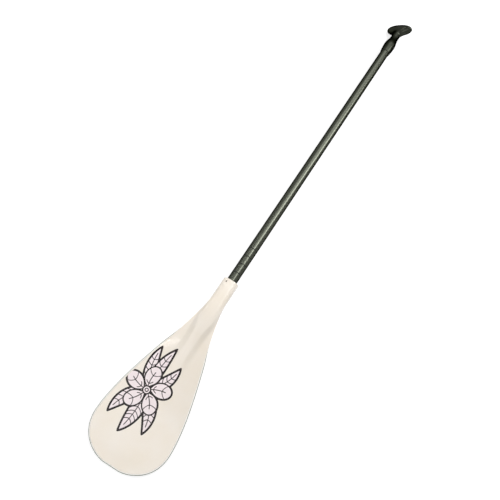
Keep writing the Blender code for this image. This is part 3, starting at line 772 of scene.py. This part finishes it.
def circle(centre, radii):
    """Rings of one centre: a dark disc, then pale and dark in turn from the widest radius inwards."""
    away = np.hypot(print_x - centre[0], print_t - centre[1])
    inside = away - radii[0]
    for k, radius in enumerate(radii[1:]):
        inside = np.maximum(inside, radius - away) if k % 2 == 0 else np.minimum(inside, away - radius)
    return away - radii[0] - OUTLINE, inside


# %% Lay out the flower
FLOWER = (-0.030, 0.204)
LEAF_FULLNESS = 0.80
LEAVES = (  # tip, bow, half width and pairs of veins
    ((-0.036, 0.078), 0.06, 0.0200, 5),
    ((-0.086, 0.106), -0.10, 0.0180, 4),
    ((0.022, 0.102), 0.12, 0.0180, 4),
    ((0.016, 0.298), -0.10, 0.0160, 4),
    ((-0.058, 0.322), 0.08, 0.0160, 4),
    ((-0.020, 0.336), 0.05, 0.0160, 4),
)
PETALS = 5
FIRST_PETAL = 20.0
PETAL_LENGTH = 0.060
PETAL_HALF_WIDTH = 0.0220
PETAL_FULLNESS = 1.7
PETAL_BOW = 0.08
PETAL_VEINS = 2
EYE_RADII = (0.0085, 0.0055, 0.0030)

shapes = [leaf(FLOWER, tip, bow, widest, LEAF_FULLNESS, veins) for tip, bow, widest, veins in LEAVES]
for petal in range(PETALS):
    turn = math.radians(FIRST_PETAL + 360.0 / PETALS * petal)
    tip = (FLOWER[0] + PETAL_LENGTH * math.cos(turn), FLOWER[1] + PETAL_LENGTH * math.sin(turn))
    shapes.append(leaf(FLOWER, tip, PETAL_BOW, PETAL_HALF_WIDTH, PETAL_FULLNESS, PETAL_VEINS))
shapes.append(circle(FLOWER, EYE_RADII))

silhouette = np.full(print_x.shape, FAR_AWAY)
pale = np.full(print_x.shape, FAR_AWAY)
for body, inside in shapes:
    pale = np.minimum(np.maximum(pale, -body), inside)
    silhouette = np.minimum(silhouette, body)
silhouette -= CONTOUR
print(f"print drawn from {len(shapes)} shapes")

# %% [markdown]
# ## Films that follow the blade
#
# A film of ink is a few hundredths of a millimetre thick and follows the blade. A Shrinkwrap modifier
# could lay flat shapes on the shell, but the shell's faces are coarser than the print's and would
# show through. So a film's height comes from the same section as the shell under it. Points of the
# grid just outside a shape are pulled onto its outline, and only squares whose corners all lie in or
# on it are kept, which gives a smooth edge from a plain grid. The films stand 0.1 and 0.2 mm proud,
# more than real ink, to stay clear of the shell's own faces.

# %% Cut the two films
BARE_EDGE = 0.0020
NEAR_STEPS = 1.3
LEAST_SLOPE = 0.5
FACE_COLUMNS = 200
DARK_LIFT = 0.00010
PALE_LIFT = 0.00020

tip_t, tip_width = tip_outline(0.0, tip_turns)
shell_edge = np.interp(print_t[:, 0], np.concatenate((tip_t, flare_rows)),
                       np.concatenate((tip_width, flare_width(flare_rows))))
margin = np.abs(print_x) - (shell_edge[:, None] - BARE_EDGE)


def film(name, shape, lift):
    """Grid squares inside the shape, with edge points moved by -distance along its slope."""
    shape = np.maximum(shape, margin)
    slope_t, slope_x = np.gradient(shape, PRINT_STEP)
    steep = np.maximum(np.hypot(slope_t, slope_x), LEAST_SLOPE)
    near = (shape > 0.0) & (shape < NEAR_STEPS * PRINT_STEP)
    x = np.where(near, print_x - shape * slope_x / steep ** 2, print_x)
    t = np.where(near, print_t - shape * slope_t / steep ** 2, print_t)
    inside = (shape <= 0.0) | near
    rows, columns = shape.shape
    quads = grid_faces(rows, columns, False)
    kept = quads[inside.ravel()[quads].all(axis=1) & (shape.ravel()[quads] <= 0.0).any(axis=1)]

    face_x, face_z = section(print_t[:, 0], shell_edge, True, FACE_COLUMNS)
    height = np.stack([np.interp(-x[i], -face_x[i], face_z[i]) for i in range(rows)])
    points = place(t, x, height + lift).reshape(-1, 3)
    used, renumbered = np.unique(kept, return_inverse=True)
    faces = renumbered.reshape(-1, 4).tolist()
    return make_piece(name, points[used], faces, (), SHEET_SHARP_ANGLE, 0.0)


dark_print = film("blade_print_dark", silhouette, DARK_LIFT)
pale_print = film("blade_print_pale", pale, PALE_LIFT)

# %% [markdown]
# ## Colours and nodes
#
# A finish is a small graph of nodes that ends in one Principled shader. It could be clicked together
# in the shader editor; written as code, it comes out the same each time and can be read line by line.
# Colours are chosen as sRGB hex values, but a shader computes with linear light, so one
# function converts them. Another adds a node of any kind, with its settings and links. Most finishes
# drift between two close colours with a noise on the piece's own coordinates. Such a noise seldom
# leaves 0.3 to 0.7, so that range is spread over the two colours.

# %% Helpers for the finishes
NOISE_RANGE = {"From Min": 0.3, "From Max": 0.7}
MIX_FACTOR, MIX_FIRST, MIX_SECOND, MIX_RESULT = 0, 6, 7, 2  # places of the Mix node's colour sockets


def linear(code):
    """sRGB hex to linear RGBA: v / 12.92 near black, otherwise ((v + 0.055) / 1.055) ^ 2.4."""
    values = np.array([int(code[i:i + 2], 16) for i in (1, 3, 5)]) / 255.0
    values = np.where(values <= 0.04045, values / 12.92, ((values + 0.055) / 1.055) ** 2.4)
    return (*values.tolist(), 1.0)


def feed(tree, node, inputs):
    """Sets a node's named or numbered inputs, and links those whose value is another node's output."""
    for key, value in inputs.items():
        if isinstance(value, bpy.types.NodeSocket):
            tree.links.new(value, node.inputs[key])
        else:
            node.inputs[key].default_value = value


def add(tree, kind, output=None, inputs=None, **settings):
    """Adds a node with its settings, feeds its inputs, and returns the named output, or the node."""
    node = tree.nodes.new(kind)
    for key, value in settings.items():
        setattr(node, key, value)
    feed(tree, node, inputs or {})
    return node if output is None else node.outputs[output]


print(f"#808080 is {linear('#808080')[0]:.3f} in linear light")

# %% Start a finish, let its colour drift, and put it on
def start(name, **sockets):
    """A material with a Principled shader whose constants sit on its own sockets."""
    material = bpy.data.materials.new(name)
    material.use_nodes = True
    tree = material.node_tree
    shader = tree.nodes["Principled BSDF"]
    feed(tree, shader, {key.replace("_", " "): value for key, value in sockets.items()})
    return material, tree, shader


def mottle(tree, noise, first, second):
    """Drift between two sRGB colours: first + (second - first) * (noise - 0.3) / 0.4, held at both."""
    share = add(tree, "ShaderNodeMapRange", "Result", {"Value": noise, **NOISE_RANGE})
    ends = {MIX_FIRST: linear(first), MIX_SECOND: linear(second)}
    return add(tree, "ShaderNodeMix", MIX_RESULT, {MIX_FACTOR: share, **ends}, data_type="RGBA")


def dress(material, *pieces):
    """Gives the pieces this one material."""
    for piece in pieces:
        piece.data.materials.clear()
        piece.data.materials.append(material)
    print(f"{material.name} on {', '.join(piece.name for piece in pieces)}")


# %% [markdown]
# ## Gelcoat
#
# Gelcoat is pigmented polyester sprayed into the mould. The blade comes out smooth and glossy, with a
# faint orange peel about 3 mm across and a colour that drifts slightly where the coat is thicker. To
# the eye it is a warm cream under a thin clear gloss. One colour with one roughness would be quick,
# but it looks like wall paint. So the colour drifts over 70 mm, the polish changes over 12 mm, and
# the peel is a bump, each from a noise at its real size.

# %% Gelcoat
DRIFT_MM = 70.0
POLISH_MM = 12.0
ORANGE_PEEL_MM = 3.0

gelcoat, tree, shader = start("polyester_gelcoat_cream", Roughness=0.2, IOR=1.5, Specular_IOR_Level=0.30,
                              Coat_Weight=0.30, Coat_Roughness=0.05)
where = add(tree, "ShaderNodeTexCoord", "Object")
drift = add(tree, "ShaderNodeTexNoise", "Fac",
            {"Vector": where, "Scale": 1000.0 / DRIFT_MM, "Detail": 3.0})
rubbed = add(tree, "ShaderNodeTexNoise", "Fac",
             {"Vector": where, "Scale": 1000.0 / POLISH_MM, "Detail": 4.0})
peel = add(tree, "ShaderNodeTexNoise", "Fac",
           {"Vector": where, "Scale": 1000.0 / ORANGE_PEEL_MM, "Detail": 1.0})
shine = add(tree, "ShaderNodeMapRange", "Result",
            {"Value": rubbed, **NOISE_RANGE, "To Min": 0.17, "To Max": 0.25})
bump = add(tree, "ShaderNodeBump", "Normal", {"Height": peel, "Strength": 0.12, "Distance": 0.00004})
feed(tree, shader, {"Base Color": mottle(tree, drift, "#EBE1D2", "#EEE6DB"),
                    "Roughness": shine, "Normal": bump})
dress(gelcoat, front_shell, back_shell)

# %% [markdown]
# ## Edge plastic
#
# The strip is moulded plastic, whiter and duller than the gelcoat. Its outermost band, where it stands
# out furthest, is coloured greenish grey as painted shade: the dark line that its rounded edge shows
# where it turns away from the light. It could be split into a white mesh and a grey one, but the strip
# is one piece. So each point carries how high it lies above the blade's middle plane, and the finish
# reads that: white at the full height, and painted grey shade from 0.90 of it down. The fine grain of
# moulded plastic is drawn at 0.8 mm, coarser than real, or it would not show.

# %% Edge plastic
UNSHADED_ABOVE = 0.99
PAINTED_SHADE_BELOW = 0.90
SCUFF_MM = 6.0
PLASTIC_GRAIN_MM = 0.8

strip_plastic, tree, shader = start("moulded_edge_plastic_white", Roughness=0.4, IOR=1.49,
                                    Specular_IOR_Level=0.15)
where = add(tree, "ShaderNodeTexCoord", "Object")
scuff = add(tree, "ShaderNodeTexNoise", "Fac",
            {"Vector": where, "Scale": 1000.0 / SCUFF_MM, "Detail": 5.0, "Roughness": 0.65})
grain = add(tree, "ShaderNodeTexNoise", "Fac", {"Vector": where, "Scale": 1000.0 / PLASTIC_GRAIN_MM})
height_share = add(tree, "ShaderNodeAttribute", "Fac", attribute_name="height_share")
# Painted shade: the greenish grey #868E7E below 0.90 of the height darkens the strip's rounded outer
# edge.
painted_shade_share = add(tree, "ShaderNodeMapRange", "Result",
                 {"Value": height_share, "From Min": UNSHADED_ABOVE, "From Max": PAINTED_SHADE_BELOW})
unshaded_white = mottle(tree, scuff, "#F2F0EA", "#F7F5F1")
colour = add(tree, "ShaderNodeMix", MIX_RESULT,
             {MIX_FACTOR: painted_shade_share, MIX_FIRST: unshaded_white, MIX_SECOND: linear("#868E7E")},
             data_type="RGBA")
shine = add(tree, "ShaderNodeMapRange", "Result",
            {"Value": scuff, **NOISE_RANGE, "To Min": 0.30, "To Max": 0.45})
bump = add(tree, "ShaderNodeBump", "Normal", {"Height": grain, "Strength": 0.15, "Distance": 0.00003})
feed(tree, shader, {"Base Color": colour, "Roughness": shine, "Normal": bump})
dress(strip_plastic, strip)

# %% [markdown]
# ## Screen inks
#
# The print and the shaft's marks are screen ink, pressed through a mesh: thin and even, and duller
# than the gloss that it lies on. The dark ink is nearly black with a warm cast, the pale one a pinkish
# white, and the marks are matt black. Each could be a finish of its own, but they are the same stuff,
# so one function makes all three, with two close colours in blobs of 4 mm. The tooth that the mesh
# leaves is drawn at 0.7 mm, coarser than real, or it would not show.

# %% Inks
COVER_MM = 4.0
TOOTH_MM = 0.7


def ink(name, first, second, roughness):
    """Screen ink: two close colours that drift in blobs, over a fine bump."""
    material, tree, shader = start(name, Roughness=roughness, IOR=1.5, Specular_IOR_Level=0.2)
    where = add(tree, "ShaderNodeTexCoord", "Object")
    cover = add(tree, "ShaderNodeTexNoise", "Fac",
                {"Vector": where, "Scale": 1000.0 / COVER_MM, "Detail": 4.0, "Roughness": 0.6})
    tooth = add(tree, "ShaderNodeTexNoise", "Fac",
                {"Vector": where, "Scale": 1000.0 / TOOTH_MM, "Detail": 1.0})
    bump = add(tree, "ShaderNodeBump", "Normal", {"Height": tooth, "Strength": 0.1, "Distance": 0.00002})
    feed(tree, shader, {"Base Color": mottle(tree, cover, first, second), "Normal": bump})
    return material


dress(ink("screen_ink_dark_brown", "#1C1616", "#282020", 0.3), dark_print)
dress(ink("screen_ink_pinkish_white", "#F0E2E4", "#F4E9EA", 0.28), pale_print)
dress(ink("screen_ink_matt_black", "#0C0C0D", "#141416", 0.75), marks)

# %% [markdown]
# ## Wound carbon and epoxy
#
# The shaft's fibres run round it in crossing helices, in flat tows about 3 mm wide, under clear
# epoxy. From a metre away that gives a near-black tube with a long soft highlight and only a hint of
# the winding. Bands on Object coordinates would smear where the wall turns away, so two sets of
# diagonal bands are drawn on the unrolled wall, at plus and minus 45 degrees, and vary its colour and
# its polish a little. Carbon fibre shines like dark graphite, so the shader is a dark metal, and a
# black edge tint keeps the tube's flanks dark.

# %% Shaft composite
TOW_MM = 3.0
WAVES_PER_UNIT = 10.0
HELIX_ANGLES = (45.0, -45.0)
BLACK = linear("#000000")

composite, tree, shader = start("wound_carbon_epoxy", Roughness=0.24, Metallic=1.0, Specular_Tint=BLACK)
wall_map = add(tree, "ShaderNodeUVMap", "UV", uv_map="unrolled")
bands = []
for helix in HELIX_ANGLES:
    turned_map = add(tree, "ShaderNodeMapping", "Vector",
                     {"Vector": wall_map, "Rotation": (0.0, 0.0, math.radians(helix))})
    bands.append(add(tree, "ShaderNodeTexWave", "Fac",
                     {"Vector": turned_map, "Scale": 1000.0 / TOW_MM / WAVES_PER_UNIT,
                      "Distortion": 0.6, "Detail": 1.0}))
weave = add(tree, "ShaderNodeMath", "Value", {0: bands[0], 1: bands[1]}, operation="MULTIPLY")
colour = add(tree, "ShaderNodeMix", MIX_RESULT,
             {MIX_FACTOR: weave, MIX_FIRST: linear("#41433C"), MIX_SECOND: linear("#4B4D45")},
             data_type="RGBA")
shine = add(tree, "ShaderNodeMapRange", "Result",
            {"Value": weave, **NOISE_RANGE, "To Min": 0.22, "To Max": 0.26})
feed(tree, shader, {"Base Color": colour, "Roughness": shine})
dress(composite, shaft)

# %% [markdown]
# ## Grip lacquer
#
# The grip is sprayed with a black lacquer that holds a little metal powder, so it shines like the
# shaft next to it but darker. Plain dark plastic would be the first guess, but it renders without
# that sheen, so the shader is a dark metal with the shaft's edge tint. The powder drifts in soft
# clouds about 20 mm across, which changes the polish a little. The grain of the spray is drawn at
# 0.9 mm, coarser than real, or it would not show.

# %% Grip lacquer
CLOUD_MM = 20.0
SPRAY_MM = 0.9

lacquer, tree, shader = start("pearl_black_lacquer", Roughness=0.24, Metallic=1.0, Specular_Tint=BLACK)
where = add(tree, "ShaderNodeTexCoord", "Object")
clouds = add(tree, "ShaderNodeTexNoise", "Fac",
             {"Vector": where, "Scale": 1000.0 / CLOUD_MM, "Detail": 3.0})
spray = add(tree, "ShaderNodeTexNoise", "Fac", {"Vector": where, "Scale": 1000.0 / SPRAY_MM})
shine = add(tree, "ShaderNodeMapRange", "Result",
            {"Value": clouds, **NOISE_RANGE, "To Min": 0.20, "To Max": 0.28})
bump = add(tree, "ShaderNodeBump", "Normal", {"Height": spray, "Strength": 0.15, "Distance": 0.00003})
feed(tree, shader, {"Base Color": mottle(tree, clouds, "#2A2C26", "#343630"),
                    "Roughness": shine, "Normal": bump})
dress(lacquer, grip_front, grip_back)

# %% [markdown]
# ## Rivet steel
#
# The rivet is steel, blackened in oil, and a little browner where the black is thin. Its head is only
# 5 mm across, so a bump or scratches would not show. A mottle of 1.2 mm in its colour is enough, and
# keeps it from looking like a hole.

# %% Rivet steel
OXIDE_MM = 1.2

rivet_metal, tree, shader = start("blackened_steel", Roughness=0.42, Metallic=0.8)
where = add(tree, "ShaderNodeTexCoord", "Object")
oxide = add(tree, "ShaderNodeTexNoise", "Fac",
            {"Vector": where, "Scale": 1000.0 / OXIDE_MM, "Detail": 3.0})
feed(tree, shader, {"Base Color": mottle(tree, oxide, "#3A3733", "#5A5650")})
dress(rivet_metal, rivet_piece)

# %% [markdown]
# ## Foam inside
#
# The cores and plugs keep their CAD shapes, and could keep the plain CAD finish, since nothing of them
# shows from outside. A cut-open or exploded view shows them, though, so they get their own: foam with
# round cells about a millimetre across. A Voronoi texture's distance is low in the middle of a cell
# and high between cells, so it gives both the colour of the cells and the pits that a knife opens.


# %% Foams
def foam(name, first, second, cell_mm):
    """Cut foam: the distance to the middle of a Voronoi cell mixes two colours and is the height."""
    material, tree, shader = start(name, Roughness=0.9)
    where = add(tree, "ShaderNodeTexCoord", "Object")
    cells = add(tree, "ShaderNodeTexVoronoi", "Distance", {"Vector": where, "Scale": 1000.0 / cell_mm})
    colour = add(tree, "ShaderNodeMix", MIX_RESULT,
                 {MIX_FACTOR: cells, MIX_FIRST: linear(first), MIX_SECOND: linear(second)},
                 data_type="RGBA")
    bump = add(tree, "ShaderNodeBump", "Normal", {"Height": cells, "Strength": 0.4, "Distance": 0.0003})
    feed(tree, shader, {"Base Color": colour, "Normal": bump})
    return material


dress(foam("polyurethane_foam_tan", "#C9A96A", "#E3CC96", 1.2),
      nodes["blade_core_left"], nodes["blade_core_right"])
dress(foam("closed_cell_foam_grey", "#4C4D50", "#707276", 1.0),
      nodes["shaft_bottom_plug"], nodes["shaft_top_plug"], nodes["grip_core"])

# %% [markdown]
# ## Liner and spar
#
# The liner is ivory nylon filled with short glass fibres, which leave a faint mottle and a slightly
# rough skin. The spar is carbon pulled through a die, so its fibres all run along it. Both could share
# the shaft's finish, but neither is wound or clear-coated. A noise gives each its mottle and its bump;
# for the spar it is stretched 25 times along the fibres.

# %% Liner
GLASS_MM = 1.5

liner_nylon, tree, shader = start("glass_filled_nylon_ivory", Roughness=0.45, IOR=1.53)
where = add(tree, "ShaderNodeTexCoord", "Object")
fibres = add(tree, "ShaderNodeTexNoise", "Fac",
             {"Vector": where, "Scale": 1000.0 / GLASS_MM, "Detail": 4.0, "Roughness": 0.7})
bump = add(tree, "ShaderNodeBump", "Normal", {"Height": fibres, "Strength": 0.15, "Distance": 0.00005})
feed(tree, shader, {"Base Color": mottle(tree, fibres, "#D5D1C2", "#E3DFD2"), "Normal": bump})
dress(liner_nylon, nodes["neck_socket_liner"])

# %% Spar
STREAK_MM = 1.0
STREAK_STRETCH = 25.0

spar_carbon, tree, shader = start("pultruded_carbon", Roughness=0.4, IOR=1.5)
where = add(tree, "ShaderNodeTexCoord", "Object")
lengthwise = add(tree, "ShaderNodeMapping", "Vector",
                 {"Vector": where, "Scale": (1.0, 1.0 / STREAK_STRETCH, 1.0)})
streaks = add(tree, "ShaderNodeTexNoise", "Fac",
              {"Vector": lengthwise, "Scale": 1000.0 / STREAK_MM, "Detail": 3.0})
bump = add(tree, "ShaderNodeBump", "Normal", {"Height": streaks, "Strength": 0.2, "Distance": 0.00005})
feed(tree, shader, {"Base Color": mottle(tree, streaks, "#101113", "#26282B"), "Normal": bump})
dress(spar_carbon, nodes["blade_spar"])

# %% [markdown]
# ## Floor and surroundings
#
# The photograph's background is pure white. More light on the paddle would wash it out, so the floor
# and the world are white only to rays from the camera, or ones that a glossy or clear surface sends
# on, and pale and dimmer to all others. Near the paddle the floor keeps part of its own shading, so
# the soft shadow still shows; a few metres away, past the lamps' reach, it glows fully white.

# %% Make the floor
FLOOR_HALF = 30.0
FLOOR_HEIGHT = -0.0005
UNIT_SQUARE = ((-1, -1), (1, -1), (1, 1), (-1, 1))

floor_mesh = bpy.data.meshes.new("studio_floor")
floor_corners = [(x * FLOOR_HALF, y * FLOOR_HALF, FLOOR_HEIGHT) for x, y in UNIT_SQUARE]
floor_mesh.from_pydata(floor_corners, [], [(0, 1, 2, 3)])
floor = put("studio_floor", floor_mesh)
print(f"floor {2 * FLOOR_HALF:.0f} m across")


# %% Choose what each kind of ray sees
def empty_tree(owner):
    """The node tree of a new material or world, without its first nodes."""
    owner.use_nodes = True
    owner.node_tree.nodes.clear()
    return owner.node_tree


def by_ray(tree, others, direct):
    """Mix of two shaders: the largest of the camera, glossy and transmission flags picks `direct`."""
    path = add(tree, "ShaderNodeLightPath").outputs
    seen = add(tree, "ShaderNodeMath", "Value",
               {0: path["Is Camera Ray"], 1: path["Is Glossy Ray"]}, operation="MAXIMUM")
    seen = add(tree, "ShaderNodeMath", "Value",
               {0: seen, 1: path["Is Transmission Ray"]}, operation="MAXIMUM")
    return add(tree, "ShaderNodeMixShader", "Shader", {0: seen, 1: others, 2: direct})


# %% Paper for the floor
WHITE = linear("#FFFFFF")
FLOOR_GLOW = 0.72
GLOW_RISES_FROM = 1.2
GLOW_FULL_AT = 4.0
PAPER_SEEN = (0.42, 0.42, 0.42, 1.0)  # the share of light that it sends back, as the camera sees it
PAPER_LIT = (0.80, 0.80, 0.80, 1.0)  # the same for the light that it throws on the paddle

paper = bpy.data.materials.new("white_paper_sweep")
tree = empty_tree(paper)
matt = add(tree, "ShaderNodeBsdfDiffuse", "BSDF", {"Color": PAPER_SEEN})
where = add(tree, "ShaderNodeTexCoord", "Object")
away = add(tree, "ShaderNodeVectorMath", "Value", {0: where}, operation="LENGTH")
strength = add(tree, "ShaderNodeMapRange", "Result",
               {"Value": away, "From Min": GLOW_RISES_FROM, "From Max": GLOW_FULL_AT,
                "To Min": FLOOR_GLOW, "To Max": 1.0})
glow = add(tree, "ShaderNodeEmission", "Emission", {"Color": WHITE, "Strength": strength})
lit = add(tree, "ShaderNodeAddShader", "Shader", {0: matt, 1: glow})
plain = add(tree, "ShaderNodeBsdfDiffuse", "BSDF", {"Color": PAPER_LIT})
add(tree, "ShaderNodeOutputMaterial", inputs={"Surface": by_ray(tree, plain, lit)})
floor_mesh.materials.append(paper)
print(f"the floor glows fully from {GLOW_FULL_AT} m on")

# %% White surroundings
FILL = 0.23

world = bpy.data.worlds.new("studio")
bpy.context.scene.world = world
tree = empty_tree(world)
fill = add(tree, "ShaderNodeBackground", "Background", {"Color": WHITE, "Strength": FILL})
white = add(tree, "ShaderNodeBackground", "Background", {"Color": WHITE, "Strength": 1.0})
add(tree, "ShaderNodeOutputWorld", inputs={"Surface": by_ray(tree, fill, white)})
print(f"the world fills in with {FILL}")

# %% [markdown]
# ## Six softboxes
#
# The shaft shows a wide soft highlight with a brighter line a little right of its middle, all the way
# from the neck to the grip. An even sky would light the paddle too, but leave the tube without that
# line. A long tube shows a lamp only if it lies where the camera's view, mirrored in the tube, meets
# it: high up and beyond the grip. So a wide softbox hangs there, with a
# narrow, brighter one to its right. A strip light on the left draws out the spine's left flank and
# the left side of the shaft. Two weaker softboxes, one on the left and one overhead, lift the blade
# until its cream renders about as it is written. The sixth is small and hangs where the camera sees
# it mirrored in the blade's left shoulder, as a white gloss.


# %% Softboxes
SOFTBOXES = (  # name, place, point it looks at, metres across and along, watts
    ("softbox_wide", (0.0, 1.65, 2.00), (0.0, 0.3, 0.0), 1.8, 2.0, 29.0),
    ("softbox_narrow", (1.15, 1.65, 1.95), (0.0, 0.3, 0.0), 0.5, 2.2, 42.0),
    ("softbox_strip", (-1.50, 0.20, 1.40), (0.0, -0.3, 0.0), 1.6, 0.12, 4.5),
    ("softbox_left", (-1.50, -1.70, 1.40), (0.0, -0.9, 0.0), 1.2, 1.2, 8.0),
    ("softbox_top", (-0.20, -1.40, 1.80), (0.0, -1.0, 0.0), 1.2, 1.2, 10.0),
    ("softbox_shoulder", (-0.33, -0.51, 2.00), (-0.23, -0.30, 0.0), 0.02, 0.30, 0.36),
)


def softbox(name, stand_at, target, across, along, watts):
    """A rectangular area lamp that looks at a point and isn't seen by the camera."""
    lamp = bpy.data.lights.new(name, "AREA")
    lamp.shape = "RECTANGLE"
    lamp.size = across
    lamp.size_y = along
    lamp.energy = watts
    stand = put(name, lamp)
    stand.location = stand_at
    stand.rotation_euler = (Vector(target) - stand.location).to_track_quat("-Z", "Y").to_euler()
    stand.visible_camera = False
    print(f"{name}: {watts / (math.pi * across * along):.1f} W per square metre and steradian")


for lamp_sizes in SOFTBOXES:
    softbox(*lamp_sizes)

# %% [markdown]
# ## The camera
#
# The photograph was taken from above the blade's end, turned so that the paddle runs from the lower
# left to the upper right of a square frame. The camera could be aimed by eye, but the outline of a
# long thin object shows every error. So place, turn and focal length were fitted to the outline
# together.

# %% Camera
CAMERA_PLACE = (0.12887, -1.10197, 1.92980)
CAMERA_TURN = (24.1937, -10.5099, 30.5544)
SENSOR_WIDTH = 36.0
FOCAL_LENGTH = 51.984
FARTHEST_SEEN = 100.0

camera_data = bpy.data.cameras.new("camera")
camera_data.sensor_width = SENSOR_WIDTH
camera_data.lens = FOCAL_LENGTH
camera_data.clip_end = FARTHEST_SEEN
camera = put("camera", camera_data)
camera.location = CAMERA_PLACE
camera.rotation_euler = [math.radians(angle) for angle in CAMERA_TURN]
bpy.context.scene.camera = camera
bpy.context.scene.view_settings.view_transform = "Standard"
print(f"camera {1000 * CAMERA_PLACE[2]:.0f} mm above the floor, lens {FOCAL_LENGTH:.0f} mm")
